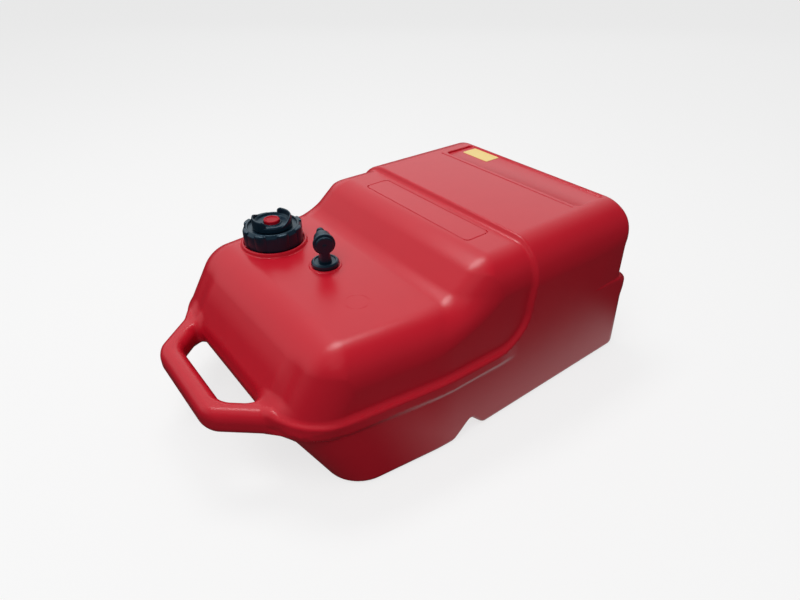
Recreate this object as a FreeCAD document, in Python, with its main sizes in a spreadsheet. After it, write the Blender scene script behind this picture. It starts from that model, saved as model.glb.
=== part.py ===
"""Portable fuel tank for an outboard motor: a blow-moulded shell, a vented screw cap and a swivel pickup.

Frame: millimetres, +X from the carrying handle towards the rear wall, +Z up.
Origin: on the floor, in the middle of the tank's length and width.
"""
import FreeCAD
import Part
import math
import os
from types import SimpleNamespace

import Sketcher
from FreeCAD import Placement, Rotation, Vector

SIZES = {
    # tank shell, outside
    "overall_length": (549.0, "handle face to rear ledge"),
    "body_width": (358.0, "across the base"),
    "body_height": (206.0, "floor to main top panel"),
    "deck_drop": (42.0, "main top panel down to the low front deck"),
    "panel_drop": (6.0, "main top panel down to the plateau in front of it"),
    "wall": (4.0, "wall of the moulding"),
    "side_draft": (8.5, "how far each side leans in from floor to top"),
    "shoulder_radius": (46.0, "long upper edges"),
    "foot_radius": (7.0, "edges around the base"),
    "rear_corner": (22.0, "upright rear corners"),
    "front_corner": (32.0, "upright front corners at the floor"),
    "nose_corner": (54.0, "upright front corners at the ledge"),
    "side_taper": (0.122, "inward run of the sides for each mm forward"),
    "taper_from_rear": (324.0, "rear wall to where the sides start to taper"),
    "upper_shoulder": (38.0, "edges of the upper front body"),
    "rear_edge_radius": (8.0, "top edge of the rear wall"),
    "upper_inset": (5.0, "step from the lower body in to the upper front body"),
    "step_from_rear": (185.0, "rear wall to the step in the top"),
    "step_lean": (12.0, "how far the step moves forward from top to mid side"),
    "plateau_from_rear": (250.0, "rear wall to the plateau's front corner"),
    "plateau_slope": (41.0, "slope between plateau and deck, degrees"),
    "deck_rounding": (50.0, "radius over the deck's two convex edges"),
    "deck_hollow": (30.0, "radius where the slope runs out on the deck"),
    "face_lean": (33.0, "lean of the upper front face, degrees"),
    "handle_reach": (56.0, "handle face to the front of the lower body"),
    "nose_undercut": (48.0, "how far the lower front face runs back to the floor"),
    "nose_height": (86.0, "floor to the most forward line of the lower body"),
    "ledge_height": (99.0, "ledge height at the front"),
    "ledge_fall": (5.0, "fall of the ledge towards the rear"),
    "ledge_bend": (45.0, "radius where the ledge turns up into the step"),
    "rim_height": (14.0, "height of the raised rim under the ledge"),
    "rim_proud": (2.0, "how far the rim stands out"),
    "rim_from_rear": (213.0, "rear wall to the end of the rim"),
    "rim_fade": (30.0, "length over which the rim runs out"),
    "rear_ledge_height": (96.0, "height of the ledge in the rear wall"),
    "rear_ledge_reach": (3.0, "how far the rear ledge stands out"),
    "rear_inset": (8.0, "how far the wall above the rear ledge stands in"),
    "rear_waist": (6.0, "how far each side draws in at the rear, above the ledge"),
    "rear_waist_run": (55.0, "length over which it draws in"),
    "strip_length": (72.0, "recessed strip along the rear edge of the top"),
    "strip_depth": (2.8, "depth of that strip"),
    "strip_lip": (7.0, "lip left along the rear edge"),
    "strip_end_lip": (8.0, "lip left at the strip's +Y end"),
    "line_width": (1.6, "engraved border lines"),
    "line_depth": (0.8, "depth of the border lines"),
    "line_margin": (9.0, "border line to the edge of its panel"),
    # strap groove across the floor
    "groove_from_rear": (284.0, "rear wall to the groove's highest line"),
    "groove_height": (22.6, "height of the groove"),
    "groove_front_run": (27.0, "groove's highest line forward to the floor"),
    "groove_rear_run": (22.0, "groove's highest line back to the floor"),
    # carrying handle
    "handle_width": (132.0, "straight front face before its corners"),
    "handle_bar": (25.0, "width of the bar from above"),
    "handle_thickness": (28.0, "height of the bar"),
    "handle_top": (100.0, "floor to the top of the bar"),
    "handle_angle": (41.0, "arms' angle from the length of the tank, degrees"),
    "handle_corner": (28.0, "outer corners of the handle"),
    "handle_edge": (10.5, "rounding along the bar"),
    "handle_arm_run": (52.0, "handle face to where the arms flare"),
    "handle_flare": (34.0, "sideways flare of each arm at its root"),
    # filler neck and cap
    "filler_x": (-101.5, "filler axis, along the tank"),
    "filler_y": (95.0, "filler axis, across the tank"),
    "neck_bore": (25.0, "radius of the filler bore"),
    "neck_wall": (4.5, "wall of the neck"),
    "neck_height": (16.0, "neck above the deck"),
    "collar_radius": (43.5, "raised ring around the cap"),
    "collar_rise": (1.8, "height of that ring"),
    "thread_pitch": (6.0, "rise of the cap for one turn"),
    "thread_depth": (2.2, "height of the thread ridge"),
    "thread_width": (2.4, "ridge at its root"),
    "thread_gap": (0.4, "free space over the thread crests"),
    "cap_radius": (35.8, "cap's wall, outside"),
    "cap_height": (23.0, "cap's skirt to its rim"),
    "cap_gap": (0.3, "skirt above the collar"),
    "cap_chamfer": (3.0, "bevel around the cap's top"),
    "lobe_count": (8, "grip lobes around the cap"),
    "lobe_radius": (9.0, "radius of a grip lobe"),
    "lobe_proud": (1.2, "how far a lobe stands out"),
    "recess_radius": (29.5, "dish in the cap's top"),
    "cap_plate": (4.0, "thickness of the cap's top"),
    "gasket_thickness": (2.0, "cap gasket"),
    "boss_wall": (4.5, "wall of the boss under the cap's top"),
    "boss_depth": (8.0, "depth of that boss"),
    # vent knob and button
    "knob_radius": (24.0, "vent knob's disc"),
    "knob_height": (8.2, "disc's edge"),
    "knob_dish": (3.5, "dish in the knob's face"),
    "wing_height": (6.0, "finger wings above the disc's edge"),
    "wing_turn": (142.0, "wings' direction from +X, degrees"),
    "wing_half_chord": (18.0, "half the straight length of a wing"),
    "wing_inner_radius": (34.0, "inner face of a wing"),
    "hub_radius": (11.5, "knob's hub"),
    "shaft_gap": (0.05, "running clearance of turning pieces"),
    "button_radius": (9.75, "vent button"),
    "button_height": (6.1, "vent button's head"),
    "button_travel": (2.0, "how far the button presses"),
    "button_gap": (0.35, "clearance around the button"),
    "stem_radius": (3.0, "button's stem"),
    "spring_radius": (5.5, "vent spring to its wire's centre"),
    "spring_wire": (0.45, "radius of the spring's wire"),
    "spring_turns": (6, "turns of the vent spring"),
    "o_ring_wire": (0.88, "radius of the O-rings' section"),
    "valve_radius": (7.5, "vent valve disc"),
    # cap leash
    "leash_ring_height": (2.1, "ring clipped under the cap"),
    "leash_length": (61.0, "leash strap"),
    "leash_width": (8.0, "leash strap"),
    "leash_thickness": (2.0, "leash strap"),
    "leash_bar_length": (62.0, "cross bar that can't pass the neck"),
    "leash_bar_size": (6.0, "cross bar, square"),
    # fuel pickup
    "pickup_x": (-81.5, "pickup axis, along the tank"),
    "pickup_y": (8.0, "pickup axis, across the tank"),
    "pickup_turn": (66.3, "elbow's direction from +X, degrees"),
    "insert_radius": (13.0, "threaded insert, outside"),
    "insert_length": (18.0, "threaded insert"),
    "insert_boss_wall": (5.0, "plastic around the insert"),
    "stem_thread_radius": (10.0, "pickup base's threaded stem"),
    "flange_radius": (15.75, "pickup base's flange"),
    "flange_height": (4.4, "pickup base's flange"),
    "flange_bevel": (2.2, "bevel around the flange"),
    "seal_thickness": (1.6, "gasket under the flange"),
    "spigot_radius": (7.0, "elbow's turning spigot"),
    "spigot_length": (10.0, "spigot inside the base"),
    "passage_radius": (3.3, "fuel passage"),
    "head_height": (28.0, "deck to the elbow's axis"),
    "head_radius": (12.5, "elbow's round head"),
    "head_back": (9.5, "elbow's axis to the head's closed face"),
    "head_front": (13.0, "elbow's axis to the head's open face"),
    "pillar_width": (13.0, "elbow's pillar across"),
    "pillar_depth": (19.0, "elbow's pillar along"),
    "barb_spigot": (6.0, "hose tail's screwed end"),
    "tail_radius": (4.4, "hose tail between its barbs"),
    "barb_radius": (5.3, "crest of a barb"),
    "barb_length": (5.0, "one barb"),
    "tube_radius": (4.5, "dip tube, outside"),
    "tube_wall": (1.3, "dip tube's wall"),
    "strainer_radius": (9.0, "strainer cage"),
    "strainer_height": (29.0, "strainer cage"),
    "strainer_floor_gap": (1.0, "strainer above the tank's floor"),
    # label plate
    "label_length": (26.0, "label along the tank"),
    "label_width": (50.0, "label across the tank"),
    "label_thickness": (0.5, "label"),
    "label_y": (82.0, "label's middle across the tank"),
}

SHEET_NAME = "Sizes"
TURNING_GAP = 0.2
FACE_GAP = 0.1


class Size:
    """A number that carries the spreadsheet expression it comes from."""

    def __init__(self, value, text):
        self.value = float(value)
        self.text = text

    @staticmethod
    def of(other):
        return other if isinstance(other, Size) else Size(other, repr(float(other)))

    def joined(self, sign, other, value):
        return Size(value, f"({self.text} {sign} {other.text})")

    def __add__(self, other):
        other = Size.of(other)
        return self.joined("+", other, self.value + other.value)

    def __sub__(self, other):
        other = Size.of(other)
        return self.joined("-", other, self.value - other.value)

    def __mul__(self, other):
        other = Size.of(other)
        return self.joined("*", other, self.value * other.value)

    def __truediv__(self, other):
        other = Size.of(other)
        return self.joined("/", other, self.value / other.value)

    def __radd__(self, other):
        return Size.of(other) + self

    def __rsub__(self, other):
        return Size.of(other) - self

    def __rmul__(self, other):
        return Size.of(other) * self

    def __neg__(self):
        return Size(-self.value, f"(-{self.text})")


def fill_sheet(doc):
    """Write every driving size into the spreadsheet and return it."""
    sheet = doc.addObject("Spreadsheet::Sheet", SHEET_NAME)
    for row, (alias, (value, note)) in enumerate(SIZES.items(), start=1):
        sheet.set(f"A{row}", alias)
        sheet.set(f"B{row}", str(value))
        sheet.setAlias(f"B{row}", alias)
        sheet.set(f"C{row}", note)
    doc.recompute()
    return sheet


doc = FreeCAD.newDocument("fuel_tank")
sheet = fill_sheet(doc)
s = SimpleNamespace(**{name: Size(sheet.get(name), f"{SHEET_NAME}.{name}") for name in SIZES})
n = SimpleNamespace(**{name: float(sheet.get(name)) for name in SIZES})


# ---------------------------------------------------------------- wires and solids

def rounded_wire(points, radii):
    """Closed wire through the points, with a tangent arc of the given radius at each corner."""
    ends = []
    for index, corner in enumerate(points):
        before = (points[index - 1] - corner).normalize()
        after = (points[(index + 1) % len(points)] - corner).normalize()
        radius = radii[index]
        if radius <= 0:
            ends.append((corner, None, corner))
            continue
        half = before.getAngle(after) / 2
        run = radius / math.tan(half)
        centre = corner + (before + after).normalize() * (radius / math.sin(half))
        middle = centre + (corner - centre).normalize() * radius
        ends.append((corner + before * run, middle, corner + after * run))
    edges = []
    for index, (start, middle, end) in enumerate(ends):
        if middle is not None:
            edges.append(Part.Arc(start, middle, end).toShape())
        following = ends[(index + 1) % len(ends)][0]
        edges.append(Part.makeLine(end, following))
    return Part.Wire(edges)


def across(corners, half_width):
    """Solid from a side outline of (x, z, radius) corners, as wide as the tank."""
    points = [Vector(x, -half_width, z) for x, z, _ in corners]
    wire = rounded_wire(points, [radius for _, _, radius in corners])
    return Part.Face(wire).extrude(Vector(0, 2 * half_width, 0))


def upright(corners, low, high):
    """Solid from a plan outline of (x, y, radius) corners between two heights."""
    points = [Vector(x, y, low) for x, y, _ in corners]
    wire = rounded_wire(points, [radius for _, _, radius in corners])
    return Part.Face(wire).extrude(Vector(0, 0, high - low))


def helical_ridge(radius, depth, width, pitch, turns, start):
    """Thread ridge of trapezoid section that stands out from radius, or in where depth is negative."""
    path = Part.makeHelix(pitch, pitch * turns, radius)
    bite = 0.3 if depth > 0 else -0.3
    section = Part.makePolygon([
        Vector(radius - bite, 0, -width / 2),
        Vector(radius + depth, 0, -width / 4),
        Vector(radius + depth, 0, width / 4),
        Vector(radius - bite, 0, width / 2),
        Vector(radius - bite, 0, -width / 2),
    ])
    ridge = Part.Wire(path).makePipeShell([section], True, True)
    ridge.translate(Vector(0, 0, start))
    return ridge


# ---------------------------------------------------------------- tank shell

REAR_X = n.overall_length / 2 - n.rear_ledge_reach
NOSE_X = n.handle_reach - n.overall_length / 2
TAPER_X = REAR_X - n.taper_from_rear
STEP_X = REAR_X - n.step_from_rear
TOP_REAR_X = REAR_X - n.rear_inset * 1.5
FACE_RUN_ON = 26  # how far the front face is built on below the nose before it is cut off there
PLATEAU_HEIGHT = n.body_height - n.panel_drop
DECK = s.body_height - s.deck_drop
DECK_HEIGHT = DECK.value
NECK_TURNS = 1.5
THREAD_LOW = s.neck_height - s.thread_pitch * NECK_TURNS - 2.0
BEND_RADIUS = 260.0
OUTSIDE = 400.0


def half_width_at(height, inset):
    return n.body_width / 2 - n.side_draft * height / n.body_height - inset


def plan_wire(height, rear_x, front_x, half_width, rear_radius, front_radius):
    """Plan outline: straight sides that taper towards the front, with rounded corners."""
    front_half = half_width - (TAPER_X - front_x) * n.side_taper
    points = [
        Vector(rear_x, half_width, height),
        Vector(TAPER_X, half_width, height),
        Vector(front_x, front_half, height),
        Vector(front_x, -front_half, height),
        Vector(TAPER_X, -half_width, height),
        Vector(rear_x, -half_width, height),
    ]
    radii = [rear_radius, BEND_RADIUS, front_radius, front_radius, BEND_RADIUS, rear_radius]
    return rounded_wire(points, radii)


def lower_body(inset, outset=0.0):
    """Full-width body as a stack of plan outlines, with the nose, the rear ledge and the shoulders."""
    ledge = n.rear_ledge_height
    top = n.body_height - inset
    foot = n.foot_radius - inset
    edge = n.rear_edge_radius - inset
    levels = [
        (inset, REAR_X - foot, foot),
        (inset + foot * 0.3, REAR_X - foot * 0.3, foot * 0.3),
        (inset + foot, REAR_X, 0),
        (ledge - 18, REAR_X, 0),
        (ledge - 4, REAR_X + n.rear_ledge_reach, 0),
        (ledge + 6, REAR_X + n.rear_ledge_reach, 0),
        (ledge + 14, REAR_X - n.rear_inset, 0),
        (top - edge, TOP_REAR_X, 0),
        (top - edge * 0.3, TOP_REAR_X - edge * 0.3, 0),
        (top, TOP_REAR_X - edge, 0),
    ]
    wires = []
    for height, rear_x, setback in levels:
        share = max(0, 1 - height / n.nose_height)
        front_x = NOSE_X + n.nose_undercut * share + setback
        wires.append(plan_wire(
            height,
            rear_x - inset,
            front_x + inset - outset,
            half_width_at(height, inset) + outset,
            n.rear_corner - inset,
            n.nose_corner - (n.nose_corner - n.front_corner) * share - inset,
        ))
    body = Part.makeLoft(wires, True, True)
    return body.common(cross_section(inset, outset)).cut(rear_waist(inset))


def rear_waist(grow):
    """The two wedges that draw the sides in at the rear, above the ledge."""
    low = n.rear_ledge_height + 12 - grow
    half = half_width_at(low, grow)
    run = n.rear_waist_run + grow
    wedges = []
    for side in (-1, 1):
        wedges.append(upright([
            (REAR_X - run, side * (half + 0.5), 0),
            (REAR_X - n.rear_inset, side * (half - n.rear_waist), 0),
            (OUTSIDE, side * (half - n.rear_waist - 1), 0),
            (OUTSIDE, side * OUTSIDE, 0),
            (REAR_X - run, side * OUTSIDE, 0),
        ], low, OUTSIDE))
    return wedges


def cross_section(inset, outset):
    """Body-long solid with the tank's section: rounded feet and round shoulders."""
    low = inset
    high = n.body_height - inset
    reach = half_width_at(0, inset) + outset
    lean = half_width_at(n.body_height, inset) + outset
    corners = [
        (-reach, low, n.foot_radius - inset),
        (reach, low, n.foot_radius - inset),
        (lean, high, n.shoulder_radius - inset),
        (-lean, high, n.shoulder_radius - inset),
    ]
    points = [Vector(-OUTSIDE, y, z) for y, z, _ in corners]
    wire = rounded_wire(points, [radius for _, _, radius in corners])
    return Part.Face(wire).extrude(Vector(2 * OUTSIDE, 0, 0))


def above_ledge(inset):
    """Everything above the ledge and in front of the step, which the upper front body stands in."""
    front = n.ledge_height - inset
    rear = n.ledge_height - n.ledge_fall - inset
    low_x = STEP_X - n.step_lean + inset
    bend = n.ledge_height + 38
    rise = n.ledge_fall * (OUTSIDE + NOSE_X) / (low_x - NOSE_X)
    return across([
        (-OUTSIDE, front + rise, 0),
        (low_x, rear, n.ledge_bend),
        (low_x, bend, 0),
        (2 * (STEP_X + inset) - low_x, 2 * n.body_height - bend, 0),
        (-OUTSIDE, 2 * n.body_height - bend, 0),
    ], OUTSIDE)


def upper_front(inset):
    """Narrower upper front body: front face, deck, slope and plateau, with round shoulders."""
    base = n.nose_height - FACE_RUN_ON + inset
    top = PLATEAU_HEIGHT - inset
    deck = DECK_HEIGHT - inset
    lean = math.radians(n.face_lean)
    slope = math.radians(n.plateau_slope)
    foot_x = NOSE_X + n.upper_inset + inset / math.cos(lean)
    plateau_x = REAR_X - n.plateau_from_rear + inset * math.tan(slope / 2)
    rear_x = STEP_X + 20

    def face_x(height):
        return foot_x + (height - n.ledge_height) * math.tan(lean)

    profile = across([
        (face_x(base), base, 0),
        (face_x(deck), deck, n.deck_rounding - inset),
        (plateau_x - (top - deck) / math.tan(slope), deck, n.deck_hollow + inset),
        (plateau_x, top, n.deck_rounding - inset),
        (rear_x, top, 0),
        (rear_x, base, 0),
    ], OUTSIDE)
    half = n.upper_inset + inset
    low = plan_wire(base - 10, rear_x + 20, NOSE_X - 60, half_width_at(base - 10, half), 10, 10)
    high = plan_wire(top + 20, rear_x + 20, NOSE_X - 60, half_width_at(top + 20, half), 10, 10)
    body = profile.common(Part.makeLoft([low, high], True, True)).Solids[0]
    edges = [edge for edge in body.Edges if is_shoulder(body, edge, rear_x)]
    rounded = body.makeFillet(n.upper_shoulder - inset, edges)
    corner = Vector(-OUTSIDE, -OUTSIDE, n.nose_height - OUTSIDE)
    below = Part.makeBox(2 * OUTSIDE, 2 * OUTSIDE, OUTSIDE, corner)
    return rounded.cut(below)


def is_shoulder(body, edge, rear_x):
    """True for an edge between a side and the top, slope or front face."""
    middle = edge.valueAt((edge.FirstParameter + edge.LastParameter) / 2)
    if middle.x > rear_x - 1 or middle.z < n.nose_height - 10 or abs(middle.y) < n.body_width / 4:
        return False
    faces = body.ancestorsOfType(edge, Part.Face)
    normals = [face.normalAt(*face.Surface.parameter(middle)) for face in faces]
    return len(normals) == 2 and normals[0].getAngle(normals[1]) > math.radians(45)


def rim_band():
    """Raised rim under the ledge, around the nose and along both sides."""
    end_x = REAR_X - n.rim_from_rear
    rear = n.ledge_height - n.ledge_fall
    region = across([
        (-OUTSIDE, n.ledge_height - n.rim_height, 0),
        (NOSE_X, n.ledge_height - n.rim_height, 0),
        (end_x - n.rim_fade, rear - n.rim_height, 0),
        (end_x, rear, 0),
        (end_x, n.ledge_height + n.rim_height, 0),
        (-OUTSIDE, n.ledge_height + n.rim_height, 0),
    ], OUTSIDE)
    return lower_body(0.0, n.rim_proud).common(region).cut(above_ledge(0.0))


def handle(inset):
    """D-shaped carrying handle: a rounded plate with a finger window, rooted in the nose."""
    angle = math.radians(n.handle_angle)
    face_x = -n.overall_length / 2 + inset
    half = n.handle_width / 2 - inset * math.tan(angle / 2)
    arm_x = -n.overall_length / 2 + n.handle_arm_run
    arm_y = half + (arm_x - face_x) * math.tan(angle)
    root_x = NOSE_X + 24
    root_y = arm_y + n.handle_flare - inset
    low = n.handle_top - n.handle_thickness + inset
    high = n.handle_top - inset
    corner = n.handle_corner - inset
    plate = upright([
        (face_x, -half, corner), (face_x, half, corner), (arm_x, arm_y, 18),
        (root_x, root_y, 0), (root_x, -root_y, 0), (arm_x, -arm_y, 18),
    ], low, high)
    window_x = -n.overall_length / 2 + n.handle_bar - inset
    bar = n.handle_bar - 2 * inset
    window_half = half - bar / math.cos(angle) + bar * math.tan(angle)
    deep_x = -n.overall_length / 2 + n.handle_bar * 2
    deep_y = window_half + (deep_x - window_x) * math.tan(angle)
    window = upright([
        (window_x, -window_half, 12 + inset), (window_x, window_half, 12 + inset),
        (deep_x, deep_y, 10 + inset), (root_x + 10, deep_y, 0),
        (root_x + 10, -deep_y, 0), (deep_x, -deep_y, 10 + inset),
    ], low - 1, high + 1)
    ring = plate.cut(window)
    edges = []
    for edge in ring.Edges:
        box = edge.BoundBox
        flat = box.ZLength < 1e-6
        if flat and box.XMax < root_x - 1e-3 or flat and box.XLength > 5:
            edges.append(edge)
    return ring.makeFillet(n.handle_edge - inset, edges)


def strap_groove(grow):
    """Wedge-shaped groove across the floor, with rounded lips."""
    top_x = REAR_X - n.groove_from_rear
    return across([
        (top_x - n.groove_front_run - 40, -30 + grow, 0),
        (top_x - n.groove_front_run - 40, grow, 0),
        (top_x - n.groove_front_run - grow * 0.5, grow, 12),
        (top_x, n.groove_height + grow, 5),
        (top_x + n.groove_rear_run + grow * 0.5, grow, 12),
        (top_x + n.groove_rear_run + 40, grow, 0),
        (top_x + n.groove_rear_run + 40, -30 + grow, 0),
    ], OUTSIDE)


def rear_strip(grow):
    """Recess along the rear edge of the top panel, with a lip at its rear and its +Y end."""
    near = n.body_width / 2 - n.shoulder_radius - n.side_draft + grow
    far = near - n.strip_end_lip
    start = REAR_X - n.strip_length - grow
    end = TOP_REAR_X - n.strip_lip + grow
    low = n.body_height - n.strip_depth - grow
    return Part.makeBox(end - start, near + far, OUTSIDE, Vector(start, -near, low))


def border_lines():
    """Engraved lines that frame the bare text panels of the top."""
    half = n.body_width / 2 - n.shoulder_radius - n.side_draft - n.line_margin
    panel_rear = REAR_X - n.strip_length - n.line_margin
    panel = frame_line(STEP_X + n.line_margin, panel_rear, half, n.body_height)
    rounding = n.deck_rounding * math.tan(math.radians(n.plateau_slope) / 2)
    plateau_front = REAR_X - n.plateau_from_rear + rounding
    plateau = frame_line(plateau_front, STEP_X - n.line_margin, half - 18, PLATEAU_HEIGHT)
    return panel.fuse(plateau)


def frame_line(low_x, high_x, half, height):
    """Rectangular frame of one line's width, sunk into a face at the given height."""
    low = height - n.line_depth
    outer = Part.makeBox(high_x - low_x, 2 * half, 5, Vector(low_x, -half, low))
    width = n.line_width
    inner = Part.makeBox(
        high_x - low_x - 2 * width, 2 * half - 2 * width, 5, Vector(low_x + width, -half + width, low)
    )
    return outer.cut(inner)


def moulded_body(inset):
    """The tank's form at a depth below its outer surface."""
    body = lower_body(inset).cut(above_ledge(inset))
    return body.fuse([upper_front(inset), handle(inset)])


def tank_shell():
    """Hollow shell with its neck, collar, insert boss, groove, strip and border lines."""
    filler = Vector(n.filler_x, n.filler_y, 0)
    pickup = Vector(n.pickup_x, n.pickup_y, 0)
    deck = DECK_HEIGHT
    outer = moulded_body(0.0).fuse(rim_band())
    outer = outer.cut([strap_groove(0.0), rear_strip(0.0), border_lines()])
    cavity = moulded_body(n.wall).cut([strap_groove(n.wall), rear_strip(n.wall)])
    boss_radius = n.insert_radius + n.insert_boss_wall
    boss_depth = n.insert_length + 3
    cavity = cavity.cut(cylinder(boss_radius, deck - boss_depth, deck, pickup))
    shell = outer.cut(cavity)
    collar = cylinder(n.collar_radius, deck - n.wall / 2, deck + n.collar_rise, filler)
    collar = collar.makeFillet(n.collar_rise * 0.8, [collar.Edges[0]])
    neck = cylinder(n.neck_bore + n.neck_wall, deck - n.wall, deck + n.neck_height, filler)
    neck_radius = n.neck_bore + n.neck_wall
    start = deck + THREAD_LOW.value
    ridge = helical_ridge(neck_radius, n.thread_depth, n.thread_width, n.thread_pitch, NECK_TURNS, start)
    ridge.translate(filler)
    shell = shell.fuse([collar, neck, ridge])
    bore = cylinder(n.neck_bore, deck - n.wall - 1, deck + n.neck_height + 1, filler)
    insert_hole = cylinder(n.insert_radius + n.shaft_gap, deck - n.insert_length, deck + 1, pickup)
    drain = cylinder(n.stem_thread_radius + 0.3, deck - boss_depth - 1, deck, pickup)
    return shell.cut([bore, insert_hole, drain])


def cylinder(radius, low, high, centre):
    return Part.makeCylinder(radius, high - low, Vector(centre.x, centre.y, low))


# ---------------------------------------------------------------- bodies with sketches

def new_body(label, x=0.0, y=0.0, z=0.0, turn=None):
    """PartDesign body whose place is bound to the sizes."""
    body = doc.addObject("PartDesign::Body", label)
    body.Label = label
    for axis, size in (("x", x), ("y", y), ("z", z)):
        body.setExpression(f"Placement.Base.{axis}", Size.of(size).text)
    if turn is not None:
        body.Placement = Placement(Vector(), Rotation(Vector(0, 0, 1), turn.value))
        body.setExpression("Placement.Rotation.Angle", turn.text)
    return body


def plane_sketch(body, role, name, height=None):
    """Sketch on one of the body's own origin planes, raised by a bound height."""
    sketch = body.newObject("Sketcher::SketchObject", name)
    plane = [feature for feature in body.Origin.OriginFeatures if feature.Role == role][0]
    sketch.AttachmentSupport = [(plane, "")]
    sketch.MapMode = "FlatFace"
    if height is not None:
        sketch.setExpression("AttachmentOffset.Base.z", Size.of(height).text)
    return sketch


def constrain(sketch, kind, size, *refs):
    """Add one driving dimension and bind it to its size."""
    size = Size.of(size)
    index = sketch.addConstraint(Sketcher.Constraint(kind, *refs, size.value))
    sketch.setExpression(f"Constraints[{index}]", size.text)


def place_point(sketch, geometry, end, x, y):
    """Tie one end of a sketch edge to its two coordinates."""
    for kind, size, axis in (("DistanceX", x, -2), ("DistanceY", y, -1)):
        size = Size.of(size)
        if size.value == 0:
            sketch.addConstraint(Sketcher.Constraint("PointOnObject", geometry, end, axis))
        else:
            constrain(sketch, kind, size, -1, 1, geometry, end)


def draw_outline(sketch, points):
    """Closed outline through points whose coordinates are sizes."""
    flat = [(Size.of(x), Size.of(y)) for x, y in points]
    count = len(flat)
    for index in range(count):
        x1, y1 = flat[index]
        x2, y2 = flat[(index + 1) % count]
        line = Part.LineSegment(Vector(x1.value, y1.value, 0), Vector(x2.value, y2.value, 0))
        sketch.addGeometry(line, False)
    for index in range(count):
        sketch.addConstraint(Sketcher.Constraint("Coincident", index, 2, (index + 1) % count, 1))
        place_point(sketch, index, 1, *flat[index])


def turned(body, points, name, kind="PartDesign::Revolution", axis="V_Axis"):
    """Revolve (radius, height) points, or (length, radius) points about the H axis."""
    sketch = plane_sketch(body, "XZ_Plane", f"{name}_outline")
    draw_outline(sketch, points)
    feature = body.newObject(kind, name)
    feature.Profile = sketch
    feature.ReferenceAxis = (sketch, [axis])
    feature.Angle = 360.0
    return feature


def turned_piece(label, points, x, y, z):
    """A piece that is one revolved outline."""
    body = new_body(label, x, y, z)
    turned(body, points, f"{label}_turn")
    return body


def ring_piece(label, inner, outer, low, high, x, y, z):
    return turned_piece(label, [(inner, low), (outer, low), (outer, high), (inner, high)], x, y, z)


def o_ring(label, radius, height, x, y, z):
    """O-ring of the common section, around a vertical axis."""
    body = new_body(label, x, y, z)
    sketch = plane_sketch(body, "XZ_Plane", f"{label}_section")
    centre = Vector(radius.value, height.value, 0)
    sketch.addGeometry(Part.Circle(centre, Vector(0, 0, 1), n.o_ring_wire), False)
    constrain(sketch, "Radius", s.o_ring_wire, 0)
    place_point(sketch, 0, 3, radius, height)
    feature = body.newObject("PartDesign::Revolution", f"{label}_turn")
    feature.Profile = sketch
    feature.ReferenceAxis = (sketch, ["V_Axis"])
    feature.Angle = 360.0
    return body


def pad(body, sketch, length, name):
    feature = body.newObject("PartDesign::Pad", name)
    feature.Profile = sketch
    feature.setExpression("Length", Size.of(length).text)
    return feature


def polar(body, original, sketch, count, name):
    """Repeat a feature around the body's vertical axis."""
    pattern = body.newObject("PartDesign::PolarPattern", name)
    pattern.Originals = [original]
    pattern.Axis = (sketch, ["N_Axis"])
    pattern.Angle = 360.0
    pattern.Occurrences = int(count.value)
    pattern.setExpression("Occurrences", count.text)
    body.Tip = pattern
    return pattern


def plain_piece(label, shape, placement=None):
    """A piece whose shape is set here from the sheet's sizes."""
    feature = doc.addObject("Part::Feature", label)
    feature.Label = label
    feature.Shape = shape
    feature.Placement = placement or Placement()
    return feature


# ---------------------------------------------------------------- cap's heights, above the deck

SKIRT_LOW = s.collar_rise + s.cap_gap
CAP_TOP = SKIRT_LOW + s.cap_height
LINER = s.neck_height + s.gasket_thickness
DISH_FLOOR = LINER + s.cap_plate
BOSS_LOW = LINER - s.boss_depth
BOSS_RADIUS = s.hub_radius + s.boss_wall
KNOB_LOW = DISH_FLOOR + TURNING_GAP
KNOB_EDGE = KNOB_LOW + s.knob_height
KNOB_FACE = KNOB_EDGE - s.knob_dish
BUTTON_LOW = KNOB_LOW + s.button_travel + 1.6
POCKET_FLOOR = KNOB_LOW + 1.5
HUB_LOW = BOSS_LOW - 3.0
SPRING_FLOOR = HUB_LOW + 4.0
SEAL_LOW = HUB_LOW - 1.8
VALVE_LOW = SEAL_LOW - 2.4
LEASH_HIGH = BOSS_LOW + 4.2
LEASH_LOW = LEASH_HIGH - s.leash_ring_height
FILLER = (s.filler_x, s.filler_y, DECK)
LEASH_GROOVE = BOSS_RADIUS - 1.6
CLIP_LOW = HUB_LOW + 1.2
CLIP_HIGH = BOSS_LOW - 0.15
CLIP_GROOVE = s.hub_radius - 2.0
RING_ROOM = s.o_ring_wire + 0.2
HUB_RING = DISH_FLOOR - 6.0
HUB_RING_GROOVE = s.hub_radius - s.o_ring_wire * 2 - 0.05
SPIGOT_GROOVE = s.spigot_radius - s.o_ring_wire * 2 - 0.05


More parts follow.
